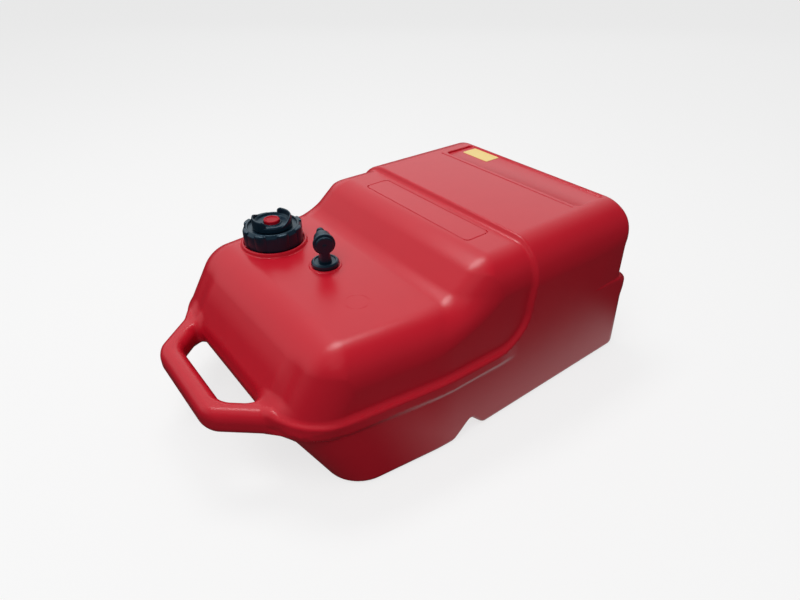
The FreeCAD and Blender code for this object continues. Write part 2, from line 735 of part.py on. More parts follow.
def build_filler_cap():
    """Screw cap: skirt with grip lobes, dished top, bored boss and an inside thread."""
    body = new_body("filler_cap", *FILLER)
    inside = s.neck_bore + s.neck_wall + s.thread_depth + s.thread_gap
    bore = s.hub_radius + s.shaft_gap
    turned(body, [
        (0, SKIRT_LOW), (s.cap_radius, SKIRT_LOW), (s.cap_radius, CAP_TOP - s.cap_chamfer),
        (s.cap_radius - s.cap_chamfer, CAP_TOP), (0, CAP_TOP),
    ], "cap_blank")
    sketch = plane_sketch(body, "XY_Plane", "lobe_outline", SKIRT_LOW + s.cap_chamfer)
    centre = s.cap_radius + s.lobe_proud - s.lobe_radius
    sketch.addGeometry(Part.Circle(Vector(centre.value, 0, 0), Vector(0, 0, 1), n.lobe_radius), False)
    constrain(sketch, "Radius", s.lobe_radius, 0)
    place_point(sketch, 0, 3, centre, 0)
    lobe = pad(body, sketch, s.cap_height - s.cap_chamfer - 0.8, "lobe")
    polar(body, lobe, sketch, s.lobe_count, "lobes")
    turned(body, [
        (0, DISH_FLOOR), (s.recess_radius, DISH_FLOOR),
        (s.recess_radius + 1, CAP_TOP + 1), (0, CAP_TOP + 1),
    ], "dish", "PartDesign::Groove")
    turned(body, [
        (0, SKIRT_LOW - 1), (inside, SKIRT_LOW - 1), (inside, LINER), (BOSS_RADIUS, LINER),
        (BOSS_RADIUS, LEASH_HIGH + FACE_GAP), (LEASH_GROOVE, LEASH_HIGH + FACE_GAP),
        (LEASH_GROOVE, LEASH_LOW - FACE_GAP), (BOSS_RADIUS, LEASH_LOW - FACE_GAP), (BOSS_RADIUS, BOSS_LOW),
        (bore, BOSS_LOW), (bore, DISH_FLOOR + 1), (0, DISH_FLOOR + 1),
    ], "inside_turn", "PartDesign::Groove")
    thread = plane_sketch(body, "XZ_Plane", "thread_section")
    middle = THREAD_LOW + s.thread_pitch / 2
    root = inside + 0.3
    tip = inside - s.thread_depth + 0.1
    draw_outline(thread, [
        (root, middle - s.thread_width / 2), (tip, middle - s.thread_width / 4),
        (tip, middle + s.thread_width / 4), (root, middle + s.thread_width / 2),
    ])
    helix = body.newObject("PartDesign::AdditiveHelix", "inside_thread")
    helix.Profile = thread
    helix.ReferenceAxis = (thread, ["V_Axis"])
    helix.Mode = "pitch-turns-angle"
    helix.setExpression("Pitch", s.thread_pitch.text)
    helix.Turns = 1.0
    return body


def build_vent_knob():
    """Vent knob: dished disc on a hub that turns in the cap, with two finger wings."""
    body = new_body("vent_knob", *FILLER, s.wing_turn)
    stem_bore = s.stem_radius + 0.6
    pocket = s.spring_radius + s.spring_wire + 1.5
    counterbore = s.button_radius + s.button_gap
    turned(body, [
        (stem_bore, HUB_LOW), (s.hub_radius, HUB_LOW), (s.hub_radius, CLIP_LOW - FACE_GAP),
        (CLIP_GROOVE, CLIP_LOW - FACE_GAP), (CLIP_GROOVE, CLIP_HIGH + FACE_GAP),
        (s.hub_radius, CLIP_HIGH + FACE_GAP), (s.hub_radius, HUB_RING - RING_ROOM),
        (HUB_RING_GROOVE, HUB_RING - RING_ROOM), (HUB_RING_GROOVE, HUB_RING + RING_ROOM),
        (s.hub_radius, HUB_RING + RING_ROOM), (s.hub_radius, KNOB_LOW),
        (s.knob_radius - 1.5, KNOB_LOW), (s.knob_radius, KNOB_LOW + 1.5), (s.knob_radius, KNOB_EDGE - 1),
        (s.knob_radius - 1, KNOB_EDGE), (s.knob_radius - 2.5, KNOB_EDGE), (s.knob_radius - 5, KNOB_FACE),
        (counterbore, KNOB_FACE), (counterbore, POCKET_FLOOR), (pocket, POCKET_FLOOR),
        (pocket, SPRING_FLOOR), (stem_bore, SPRING_FLOOR),
    ], "knob_turn")
    sketch = plane_sketch(body, "XY_Plane", "wing_outline", KNOB_FACE - 1)
    draw_crescent(sketch, s.knob_radius, s.wing_inner_radius, s.wing_half_chord)
    wing = pad(body, sketch, KNOB_EDGE + s.wing_height - KNOB_FACE + 1, "wing")
    polar(body, wing, sketch, Size(2, "2"), "wings")
    return body


def draw_crescent(sketch, outer, inner, half_chord):
    """Crescent on the +X side between an arc about the origin and a flatter inner arc."""
    outer_angle = math.asin(half_chord.value / outer.value)
    inner_angle = math.asin(half_chord.value / inner.value)
    shift = outer.value * math.cos(outer_angle) - inner.value * math.cos(inner_angle)
    up = Vector(0, 0, 1)
    outer_circle = Part.Circle(Vector(0, 0, 0), up, outer.value)
    inner_circle = Part.Circle(Vector(shift, 0, 0), up, inner.value)
    sketch.addGeometry(Part.ArcOfCircle(outer_circle, -outer_angle, outer_angle), False)
    sketch.addGeometry(Part.ArcOfCircle(inner_circle, -inner_angle, inner_angle), False)
    sketch.addConstraint(Sketcher.Constraint("Coincident", 0, 3, -1, 1))
    sketch.addConstraint(Sketcher.Constraint("Coincident", 0, 1, 1, 1))
    sketch.addConstraint(Sketcher.Constraint("Coincident", 0, 2, 1, 2))
    sketch.addConstraint(Sketcher.Constraint("PointOnObject", 1, 3, -1))
    constrain(sketch, "Radius", outer, 0)
    constrain(sketch, "Radius", inner, 1)
    constrain(sketch, "DistanceY", half_chord, -1, 1, 0, 2)


def build_vent():
    """Button, spring, valve, O-ring and clip of the vent."""
    top = BUTTON_LOW + s.button_height
    turned_piece("vent_button", [
        (0, VALVE_LOW - 1.2), (s.stem_radius - 0.6, VALVE_LOW - 1.2),
        (s.stem_radius + 0.4, VALVE_LOW - 0.6), (s.stem_radius + 0.4, VALVE_LOW - 0.05),
        (s.stem_radius, VALVE_LOW - 0.05), (s.stem_radius, BUTTON_LOW),
        (s.button_radius, BUTTON_LOW), (s.button_radius, top - 1), (s.button_radius - 0.8, top),
        (s.button_radius - 2, top), (s.button_radius - 2.8, top - 1.2), (0, top - 1.2),
    ], *FILLER)
    stem_hole = s.stem_radius + s.shaft_gap
    ring_piece("valve_seal", stem_hole, s.valve_radius - 0.7, SEAL_LOW, HUB_LOW, *FILLER)
    ring_piece("valve_disc", stem_hole, s.valve_radius, VALVE_LOW, SEAL_LOW, *FILLER)
    ring_piece("knob_clip", CLIP_GROOVE + FACE_GAP, s.hub_radius + 2.5, CLIP_LOW, CLIP_HIGH, *FILLER)
    o_ring("knob_o_ring", s.hub_radius - s.o_ring_wire, HUB_RING, *FILLER)
    low = SPRING_FLOOR.value + n.spring_wire + FACE_GAP / 2
    high = BUTTON_LOW.value - n.spring_wire - FACE_GAP / 2
    path = Part.makeHelix((high - low) / n.spring_turns, high - low, n.spring_radius)
    middle = Vector(n.spring_radius, 0, 0)
    corners = []
    for step in range(9):
        turn = math.radians(45 * step)
        corners.append(middle + Vector(math.cos(turn), 0, math.sin(turn)) * n.spring_wire)
    spring = Part.Wire(path).makePipeShell([Part.makePolygon(corners)], True, True)
    place = Vector(n.filler_x, n.filler_y, DECK_HEIGHT + low)
    plain_piece("vent_spring", spring, Placement(place, Rotation()))


def build_leash():
    """Ring that turns freely under the cap, with the strap and cross bar that keep the cap on the tank."""
    inner = LEASH_GROOVE + TURNING_GAP
    ring_piece("leash_ring", inner, inner + 5.6, LEASH_LOW, LEASH_HIGH, *FILLER)
    strap_low = LEASH_LOW - s.leash_length
    box_piece(
        "leash_strap", s.leash_thickness, s.leash_width, s.leash_length,
        s.filler_x + BOSS_RADIUS + 1, s.filler_y - s.leash_width / 2, DECK + strap_low,
    )
    box_piece(
        "leash_bar", s.leash_bar_size, s.leash_bar_length, s.leash_bar_size,
        s.filler_x + BOSS_RADIUS + 1 + s.leash_thickness / 2 - s.leash_bar_size / 2,
        s.filler_y - s.leash_bar_length / 2, DECK + strap_low - s.leash_bar_size,
    )


def box_piece(label, length, width, height, x, y, z):
    box = doc.addObject("Part::Box", label)
    box.Label = label
    for name, size in (("Length", length), ("Width", width), ("Height", height)):
        box.setExpression(name, size.text)
    for axis, size in (("x", x), ("y", y), ("z", z)):
        box.setExpression(f"Placement.Base.{axis}", size.text)
    return box


# ---------------------------------------------------------------- fuel pickup

FLANGE_LOW = s.seal_thickness
FLANGE_TOP = FLANGE_LOW + s.flange_height
SOCKET_LOW = FLANGE_TOP - s.spigot_length - 0.5
SPIGOT_LOW = SOCKET_LOW + 0.3
SWIVEL_RING = SOCKET_LOW + 3.5
SWIVEL_CLIP_LOW = FLANGE_TOP - 2.9
SWIVEL_CLIP_HIGH = FLANGE_TOP - 1.7
SWIVEL_CLIP_GROOVE = s.spigot_radius - 1.0
STEM_LOW = 1.0 - s.insert_length
TUBE_TOP = SOCKET_LOW - 3.5
TUBE_HOLE = s.tube_radius + s.shaft_gap
WASHER_THICKNESS = 1.0
PICKUP = (s.pickup_x, s.pickup_y, DECK)
HEAD = (s.pickup_x, s.pickup_y, DECK + s.head_height, s.pickup_turn)
CAGE_LOW = s.wall + s.strainer_floor_gap
CAGE_FLOOR = CAGE_LOW + 1.5
CAGE_TOP = CAGE_LOW + s.strainer_height
CAGE_SHOULDER = CAGE_TOP - 9.0
MESH_RADIUS = s.strainer_radius - 1.45


def build_pickup_base():
    """Threaded insert, gasket and the flanged base whose socket holds the elbow."""
    socket = s.spigot_radius + s.shaft_gap
    ring_piece(
        "pickup_insert", s.stem_thread_radius + s.shaft_gap, s.insert_radius,
        -s.insert_length, Size.of(-TURNING_GAP), *PICKUP,
    )
    ring_piece(
        "pickup_gasket", s.stem_thread_radius + 0.3, s.flange_radius - 0.4, Size.of(0), FLANGE_LOW, *PICKUP
    )
    turned_piece("pickup_base", [
        (TUBE_HOLE, STEM_LOW), (s.stem_thread_radius, STEM_LOW), (s.stem_thread_radius, FLANGE_LOW),
        (s.flange_radius, FLANGE_LOW), (s.flange_radius, FLANGE_TOP - s.flange_bevel),
        (s.flange_radius - s.flange_bevel, FLANGE_TOP), (socket, FLANGE_TOP),
        (socket, SWIVEL_CLIP_HIGH + FACE_GAP), (socket + 1.55, SWIVEL_CLIP_HIGH + FACE_GAP),
        (socket + 1.55, SWIVEL_CLIP_LOW - FACE_GAP), (socket, SWIVEL_CLIP_LOW - FACE_GAP),
        (socket, SOCKET_LOW), (s.passage_radius, SOCKET_LOW), (s.passage_radius, TUBE_TOP),
        (TUBE_HOLE, TUBE_TOP),
    ], *PICKUP)
    ring_piece(
        "swivel_clip", SWIVEL_CLIP_GROOVE + FACE_GAP, socket + 1.45,
        SWIVEL_CLIP_LOW, SWIVEL_CLIP_HIGH, *PICKUP,
    )


def build_elbow():
    """Swivel elbow: grooved spigot, flat-sided pillar and a round head that takes the hose tail."""
    body = new_body("pickup_elbow", *HEAD)
    down = s.head_height
    pillar_low = FLANGE_TOP + TURNING_GAP - down
    sketch = plane_sketch(body, "XY_Plane", "pillar_outline", pillar_low)
    half_depth = s.pillar_depth / 2
    half_width = s.pillar_width / 2
    draw_outline(sketch, [
        (-half_depth, -half_width), (half_depth, -half_width),
        (half_depth, half_width), (-half_depth, half_width),
    ])
    pillar = pad(body, sketch, -pillar_low, "pillar")
    doc.recompute()
    round_uprights(body, pillar, half_width - 1.5, "pillar_rounding")
    turned(body, [
        (-s.head_back, 0), (-s.head_back, s.head_radius - 3), (3 - s.head_back, s.head_radius),
        (s.head_front - 9.5, s.head_radius), (s.head_front - 1, TAIL_FLANGE + 0.5),
        (s.head_front, TAIL_FLANGE),
        (s.head_front, 0),
    ], "head", axis="H_Axis")
    ring = SWIVEL_RING - down
    clip_low = SWIVEL_CLIP_LOW - FACE_GAP - down
    clip_high = SWIVEL_CLIP_HIGH + FACE_GAP - down
    spigot_low = SPIGOT_LOW - down
    turned(body, [
        (0, spigot_low), (s.spigot_radius, spigot_low), (s.spigot_radius, ring - RING_ROOM),
        (SPIGOT_GROOVE, ring - RING_ROOM), (SPIGOT_GROOVE, ring + RING_ROOM),
        (s.spigot_radius, ring + RING_ROOM), (s.spigot_radius, clip_low), (SWIVEL_CLIP_GROOVE, clip_low),
        (SWIVEL_CLIP_GROOVE, clip_high), (s.spigot_radius, clip_high),
        (s.spigot_radius, pillar_low + 1), (0, pillar_low + 1),
    ], "spigot")
    turned(body, [
        (0, spigot_low - 1), (s.passage_radius, spigot_low - 1), (s.passage_radius, 0), (0, 0),
    ], "upright_passage", "PartDesign::Groove")
    socket = s.barb_spigot + s.shaft_gap
    turned(body, [
        (0, 0), (0, s.passage_radius), (TAIL_START, s.passage_radius), (TAIL_START, socket),
        (s.head_front + 1, socket), (s.head_front + 1, 0),
    ], "level_passage", "PartDesign::Groove", "H_Axis")
    o_ring("swivel_o_ring", s.spigot_radius - s.o_ring_wire, SWIVEL_RING, *PICKUP)


def round_uprights(body, feature, radius, name):
    """Fillet the upright edges of a feature."""
    names = []
    for index, edge in enumerate(feature.Shape.Edges, start=1):
        if edge.BoundBox.XLength < 1e-6 and edge.BoundBox.YLength < 1e-6:
            names.append(f"Edge{index}")
    fillet = body.newObject("PartDesign::Fillet", name)
    fillet.Base = (feature, names)
    fillet.setExpression("Radius", radius.text)


TAIL_START = s.passage_radius + 0.2
TAIL_FLANGE = s.barb_spigot + 2.3
TAIL_SEAT = s.head_front + WASHER_THICKNESS


def build_hose_tail():
    """Screwed hose tail with its sealing washer."""
    washer = new_body("tail_washer", *HEAD)
    inner = s.barb_spigot + FACE_GAP
    turned(washer, [
        (s.head_front, inner), (s.head_front, TAIL_FLANGE), (TAIL_SEAT, TAIL_FLANGE), (TAIL_SEAT, inner),
    ], "tail_washer_turn", axis="H_Axis")
    tail = new_body("hose_tail", *HEAD)
    start = TAIL_SEAT + 3.5
    bore = s.passage_radius - 0.2
    outline = [
        (TAIL_START + 0.3, bore), (TAIL_START + 0.3, s.barb_spigot), (TAIL_SEAT, s.barb_spigot),
        (TAIL_SEAT, TAIL_FLANGE), (TAIL_SEAT + 2, TAIL_FLANGE), (TAIL_SEAT + 2, s.tail_radius),
    ]
    for index in range(2):
        outline.append((start + index * s.barb_length, s.tail_radius))
        outline.append((start + index * s.barb_length, s.barb_radius))
    outline.append((start + 2 * s.barb_length, s.tail_radius - 0.4))
    outline.append((start + 2 * s.barb_length, bore))
    turned(tail, outline, "hose_tail_turn", axis="H_Axis")


def build_dip_tube():
    """Dip tube with the strainer at its foot."""
    x, y, _ = PICKUP
    ring_piece(
        "dip_tube", s.tube_radius - s.tube_wall, s.tube_radius,
        CAGE_FLOOR + 6.5, DECK + TUBE_TOP - FACE_GAP, x, y, 0,
    )
    cage = new_body("strainer_cage", x, y, 0)
    turned(cage, [
        (0, CAGE_LOW), (s.strainer_radius - 1, CAGE_LOW), (s.strainer_radius, CAGE_LOW + 1),
        (s.strainer_radius, CAGE_SHOULDER + 1), (s.tube_radius + 2.5, CAGE_SHOULDER + 3.5),
        (s.tube_radius + 2.5, CAGE_TOP), (TUBE_HOLE, CAGE_TOP), (TUBE_HOLE, CAGE_SHOULDER),
        (MESH_RADIUS, CAGE_SHOULDER), (MESH_RADIUS, CAGE_FLOOR), (0, CAGE_FLOOR),
    ], "cage_turn")
    sketch = plane_sketch(cage, "XZ_Plane", "window_outline")
    half = s.strainer_radius / 2
    draw_outline(sketch, [
        (-half, CAGE_FLOOR + 2), (half, CAGE_FLOOR + 2),
        (half, CAGE_SHOULDER - 2), (-half, CAGE_SHOULDER - 2),
    ])
    window = cage.newObject("PartDesign::Pocket", "window")
    window.Profile = sketch
    window.Type = "ThroughAll"
    window.Midplane = True
    pattern = cage.newObject("PartDesign::PolarPattern", "windows")
    pattern.Originals = [window]
    pattern.Axis = (sketch, ["V_Axis"])
    pattern.Angle = 90.0
    pattern.Occurrences = 2
    cage.Tip = pattern
    ring_piece("strainer_mesh", MESH_RADIUS - 0.6, MESH_RADIUS, CAGE_FLOOR, CAGE_SHOULDER, x, y, 0)


def build_label():
    """Bare label plate on the recessed strip."""
    rear = s.overall_length / 2 - s.rear_ledge_reach
    strip_end = rear - s.rear_inset * 1.5 - s.strip_lip
    box_piece(
        "label_plate", s.label_length, s.label_width, s.label_thickness,
        strip_end - s.label_length - 2, s.label_y - s.label_width / 2, s.body_height - s.strip_depth,
    )


# ---------------------------------------------------------------- whole tank

PIECES = [
    "tank_shell", "label_plate", "filler_cap", "cap_gasket", "vent_knob", "knob_o_ring", "knob_clip",
    "vent_button", "vent_spring", "valve_seal", "valve_disc", "leash_ring", "leash_strap", "leash_bar",
    "pickup_insert", "pickup_gasket", "pickup_base", "swivel_clip", "pickup_elbow", "swivel_o_ring",
    "tail_washer", "hose_tail", "dip_tube", "strainer_cage", "strainer_mesh",
]


def build():
    plain_piece("tank_shell", tank_shell())
    build_label()
    build_filler_cap()
    seat = s.neck_bore + s.neck_wall
    ring_piece("cap_gasket", s.neck_bore + 0.6, seat + 1.5, s.neck_height, LINER, *FILLER)
    build_vent_knob()
    build_vent()
    build_leash()
    build_pickup_base()
    build_elbow()
    build_hose_tail()
    build_dip_tube()
    doc.recompute()


def export():
    """Check every object, then write one STEP file for each piece."""
    for item in doc.Objects:
        if "Invalid" in item.State or "Error" in item.State:
            raise RuntimeError(f"{item.Label} failed: {item.State}")
    os.makedirs("parts", exist_ok=True)
    for label in PIECES:
        shape = doc.getObjectsByLabel(label)[0].Shape
        if shape.isNull() or not shape.isValid() or len(shape.Solids) != 1:
            raise RuntimeError(f"{label} isn't one valid solid")
        shape.exportStep(f"parts/{label}.step")
        print(f"{label}: {shape.Volume / 1000:.2f} cm3")


build()
export()
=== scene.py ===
"""Outboard fuel tank: smooth mouldings, fittings and finishes over the tank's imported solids."""
import math

import bmesh
import bpy
import numpy as np
from bpy.props import FloatProperty, FloatVectorProperty, IntProperty, PointerProperty
from mathutils import Matrix, Vector


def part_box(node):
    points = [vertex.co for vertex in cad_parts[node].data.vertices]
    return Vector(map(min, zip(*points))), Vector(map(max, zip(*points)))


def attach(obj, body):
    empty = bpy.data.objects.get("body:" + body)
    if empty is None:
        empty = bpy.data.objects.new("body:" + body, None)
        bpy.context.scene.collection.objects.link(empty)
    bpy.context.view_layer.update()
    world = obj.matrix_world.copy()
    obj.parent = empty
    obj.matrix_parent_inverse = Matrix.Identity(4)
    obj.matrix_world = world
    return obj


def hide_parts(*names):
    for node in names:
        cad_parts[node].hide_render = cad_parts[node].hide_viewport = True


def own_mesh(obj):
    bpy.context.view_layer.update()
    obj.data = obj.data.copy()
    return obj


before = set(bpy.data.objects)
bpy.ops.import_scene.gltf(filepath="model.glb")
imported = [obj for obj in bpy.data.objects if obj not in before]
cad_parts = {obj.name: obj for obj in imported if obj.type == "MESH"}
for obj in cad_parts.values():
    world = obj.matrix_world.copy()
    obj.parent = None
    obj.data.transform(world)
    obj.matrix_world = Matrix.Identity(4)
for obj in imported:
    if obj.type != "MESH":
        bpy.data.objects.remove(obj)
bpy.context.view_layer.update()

bl_info = {
    "name": "Outboard Fuel Tank",
    "version": (1, 0, 0),
    "blender": (4, 5, 0),
    "location": "3D View > Sidebar > Fuel Tank",
    "description": "Builds the tank's smooth shell, cap, vent and pickup over its packed solids",
    "category": "Add Mesh",
}

MM = 0.001
WHITE = (1, 1, 1, 1)
SHELL_LOW, SHELL_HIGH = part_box("tank_shell")
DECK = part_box("pickup_gasket")[0].z


def on_deck(node):
    """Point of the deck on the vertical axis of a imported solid."""
    low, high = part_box(node)
    middle = (low + high) / 2
    return Vector((middle.x, middle.y, DECK))


FILLER = on_deck("cap_gasket")
PICKUP = on_deck("pickup_gasket")
DECK_MARK = Vector((-0.0957, -0.0774, DECK))
HEAD_HEIGHT = 29.5 * MM
NECK_BORE, NECK_EDGE, SEAT_BORE = 25, 29.5, 13.02  # radii in mm
PICKUP_TURN = math.radians(66.3)
WING_TURN = math.radians(157.5)
PAD_TURN = math.radians(-7.5)


def length(name, description, default):
    return FloatProperty(name=name, description=description, default=default, min=0, unit="LENGTH")


def colour(name, description, default):
    return FloatVectorProperty(
        name=name, description=description, default=default, size=3, min=0, max=1, subtype="COLOR"
    )


class ShellSizes(bpy.types.PropertyGroup):
    """Sizes of the red moulding."""

    overall: length("Length", "From the handle to the rear ledge", SHELL_HIGH.x - SHELL_LOW.x)
    width: length("Width", "Across the floor", 0.358)
    height: length("Height", "Floor to the main top panel", SHELL_HIGH.z)
    deck: length("Deck height", "Floor to the low front deck", DECK)
    plateau: length("Plateau height", "Floor to the panel in front of the step", SHELL_HIGH.z - 0.006)
    wall: length("Wall", "Thickness of the moulding", 0.004)
    shoulder: length("Shoulder radius", "Rounding along the upper edges", 0.046)
    front_shoulder: length("Front shoulder radius", "Rounding around the deck", 0.038)
    ledge: length("Ledge height", "Floor to the ledge at the nose", 0.099)
    rim: length("Rim height", "Height of the raised rim under the ledge", 0.014)
    rim_proud: length("Rim reach", "How far the rim stands out", 0.002)
    bar: length("Handle bar", "Width of the handle's bar from above", 0.025)
    bar_thickness: length("Handle thickness", "Height of the handle's bar", 0.0302)
    groove: length("Strap groove", "Height of the groove across the floor", 0.0226)
    strip: length("Strip depth", "Depth of the strip along the rear edge",
                  SHELL_HIGH.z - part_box("label_plate")[0].z)
    mesh_step: length("Mesh step", "Size of the moulding's mesh cells", 0.0024)


class CapSizes(bpy.types.PropertyGroup):
    """Sizes of the filler cap and its neck."""

    radius: length("Cap radius", "Cap's wall between its lobes", 0.0353)
    lobe: length("Lobe reach", "How far a grip lobe stands out", 0.0017)
    lobes: IntProperty(name="Lobes", description="Grip lobes around the cap", default=8, min=3)
    recess: length("Recess radius", "Dish in the cap's top", 0.0295)
    pitch: length("Thread pitch", "Rise of the cap for one turn", 0.006)
    collar: length("Collar radius", "Raised ring around the cap", 0.0406)


class VentSizes(bpy.types.PropertyGroup):
    """Sizes of the vent knob and its button."""

    knob: length("Knob radius", "Vent knob's disc", 0.024)
    wing_run: length("Wing run", "Length of a finger wing along the knob's edge", 0.0565)
    wing_wall: length("Wing wall", "Thickness of a finger wing at its high end", 0.0036)
    travel: length("Button travel", "How far the button presses the spring", 0.002)
    button: length("Button radius", "Vent button", 0.00975)


class PickupSizes(bpy.types.PropertyGroup):
    """Sizes of the swivelling fuel pickup."""

    flange: length("Flange radius", "Pickup base's flange", 0.01575)
    head: length("Head radius", "Elbow's round head", 0.0125)
    tail: length("Tail radius", "Hose tail between its barbs", 0.0044)
    barb: length("Barb radius", "Crest of a barb", 0.0053)
    barb_length: length("Barb length", "Length of one barb", 0.0055)
    barbs: IntProperty(name="Barbs", description="Barbs on the hose tail", default=2, min=1)


class TankColours(bpy.types.PropertyGroup):
    """Colours of the tank's materials."""

    shell: colour("Shell", "Red moulding", (0.60, 0.008, 0.024))
    cap: colour("Cap", "Filler cap and vent knob", (0.005, 0.016, 0.030))
    fitting: colour("Pickup", "Fuel pickup and hose tail", (0.005, 0.016, 0.030))
    button: colour("Button", "Vent button", (0.44, 0.004, 0.016))
    label: colour("Label", "Bare label plate", (0.95, 0.72, 0.25))


# ---------------------------------------------------------------- meshes


def new_piece(name, mesh):
    """Object in the scene for a mesh."""
    piece = bpy.data.objects.new(name, mesh)
    bpy.context.scene.collection.objects.link(piece)
    return piece


def drop(piece):
    """Remove a helper piece and its mesh."""
    mesh = piece.data
    bpy.data.objects.remove(piece)
    bpy.data.meshes.remove(mesh)


def shade(mesh, sharp=38):
    """Smooth faces, with sharp edges over an angle in degrees."""
    mesh.polygons.foreach_set("use_smooth", [True] * len(mesh.polygons))
    mesh.set_sharp_from_angle(angle=math.radians(sharp))
    mesh.update()


def piece_from(name, vertices, faces, turn_out=True):
    """Piece from points in metres, with merged doubles and faces that point outwards."""
    mesh = bpy.data.meshes.new(name)
    mesh.from_pydata([tuple(point) for point in vertices], [], faces)
    if turn_out:
        work = bmesh.new()
        work.from_mesh(mesh)
        bmesh.ops.remove_doubles(work, verts=work.verts, dist=1e-6)
        bmesh.ops.recalc_face_normals(work, faces=work.faces)
        work.to_mesh(mesh)
        work.free()
    shade(mesh)
    return new_piece(name, mesh)


def settle(piece):
    """Make a piece's modifiers part of its mesh."""
    graph = bpy.context.evaluated_depsgraph_get()
    mesh = bpy.data.meshes.new_from_object(piece.evaluated_get(graph))
    old = piece.data
    piece.modifiers.clear()
    piece.data = mesh
    bpy.data.meshes.remove(old)
    mesh.name = piece.name


def joined(name, pieces):
    """One piece from several, with their faces as they are."""
    work = bmesh.new()
    for piece in pieces:
        work.from_mesh(piece.data)
    mesh = bpy.data.meshes.new(name)
    work.to_mesh(mesh)
    work.free()
    for piece in pieces:
        drop(piece)
    return new_piece(name, mesh)


def carried(piece, matrix):
    """The same piece, with its points moved to their place."""
    piece.data.transform(matrix)
    piece.data.update()
    return piece


def dress(piece, body, slot, *nodes):
    """Give a piece its finish, its body and the solids it stands for."""
    piece.data.materials.clear()
    piece.data.materials.append(bpy.data.materials[slot])
    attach(piece, body)
    if nodes:
        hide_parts(*nodes)


def polar(radius, angle, height):
    """Point in metres, from an angle about the vertical axis and sizes in mm."""
    return Vector((radius * math.cos(angle), radius * math.sin(angle), height)) * MM


def rounded(corners, steps=5):
    """Points along a closed outline of (u, v, radius) corners, with an arc at each rounded one."""
    points = []
    for index, (u, v, radius) in enumerate(corners):
        corner = Vector((u, v))
        if radius <= 0:
            points.append(corner)
            continue
        before = Vector(corners[index - 1][:2]) - corner
        after = Vector(corners[(index + 1) % len(corners)][:2]) - corner
        half = before.angle(after) / 2
        run = min(radius / math.tan(half), before.length * 0.499, after.length * 0.499)
        before.normalize()
        after.normalize()
        centre = corner + (before + after).normalized() * (run / math.cos(half))
        start = corner + before * run - centre
        sweep = start.angle_signed(corner + after * run - centre)
        for step in range(steps + 1):
            points.append(centre + Matrix.Rotation(-sweep * step / steps, 2) @ start)
    return points


def turned(name, corners, segments=96, place=Vector((0, 0, 0))):
    """Closed ring or disc: an outline of (radius, height, rounding) in mm, turned about a vertical axis."""
    outline = rounded(corners)
    count = len(outline)
    vertices = [
        place + polar(max(radius, 0), math.tau * step / segments, height)
        for step in range(segments) for radius, height in outline
    ]
    faces = []
    for step in range(segments):
        ring, following = step * count, (step + 1) % segments * count
        for index in range(count):
            after = (index + 1) % count
            if outline[index].x > 1e-6 or outline[after].x > 1e-6:
                faces.append([ring + index, ring + after, following + after, following + index])
    return piece_from(name, vertices, faces)


def stacked(name, rings, closed=False):
    """Closed mesh through rings of equal point counts, capped unless the last ring joins the first."""
    count = len(rings[0])
    faces = []
    for level in range(len(rings) if closed else len(rings) - 1):
        low, high = level * count, (level + 1) % len(rings) * count
        for index in range(count):
            after = (index + 1) % count
            faces.append([low + index, low + after, high + after, high + index])
    if not closed:
        faces.append(list(range(count))[::-1])
        faces.append(list(range((len(rings) - 1) * count, len(rings) * count)))
    return piece_from(name, [point for ring in rings for point in ring], faces)


def box_ring(low_x, high_x, low_y, high_y, radius, grow, height):
    """Rounded rectangle at one height, in mm, grown on all sides."""
    corners = [(low_x - grow, low_y - grow), (high_x + grow, low_y - grow),
               (high_x + grow, high_y + grow), (low_x - grow, high_y + grow)]
    outline = rounded([(*corner, radius + grow) for corner in corners], 8)
    return [Vector((x, y, height)) * MM for x, y in outline]


# ---------------------------------------------------------------- the moulding's form


def round_max(a, b, radius):
    """Larger of two distances, with a rounded edge where they meet."""
    outside = np.hypot(np.maximum(a + radius, 0), np.maximum(b + radius, 0))
    return np.minimum(np.maximum(a, b), -radius) + outside


def round_min(a, b, radius):
    """Smaller of two distances, with a fillet where they meet."""
    return -round_max(-a, -b, radius)


def edge_round(radius, turn):
    """Blend that leaves this radius where two faces turn by an angle."""
    return radius * math.tan(turn / 2) * math.sin(turn)


def ramp(value, start, end):
    """0 before the start, 1 past the end and a smooth rise between."""
    share = np.clip((value - start) / (end - start), 0, 1)
    return share * share * (3 - 2 * share)


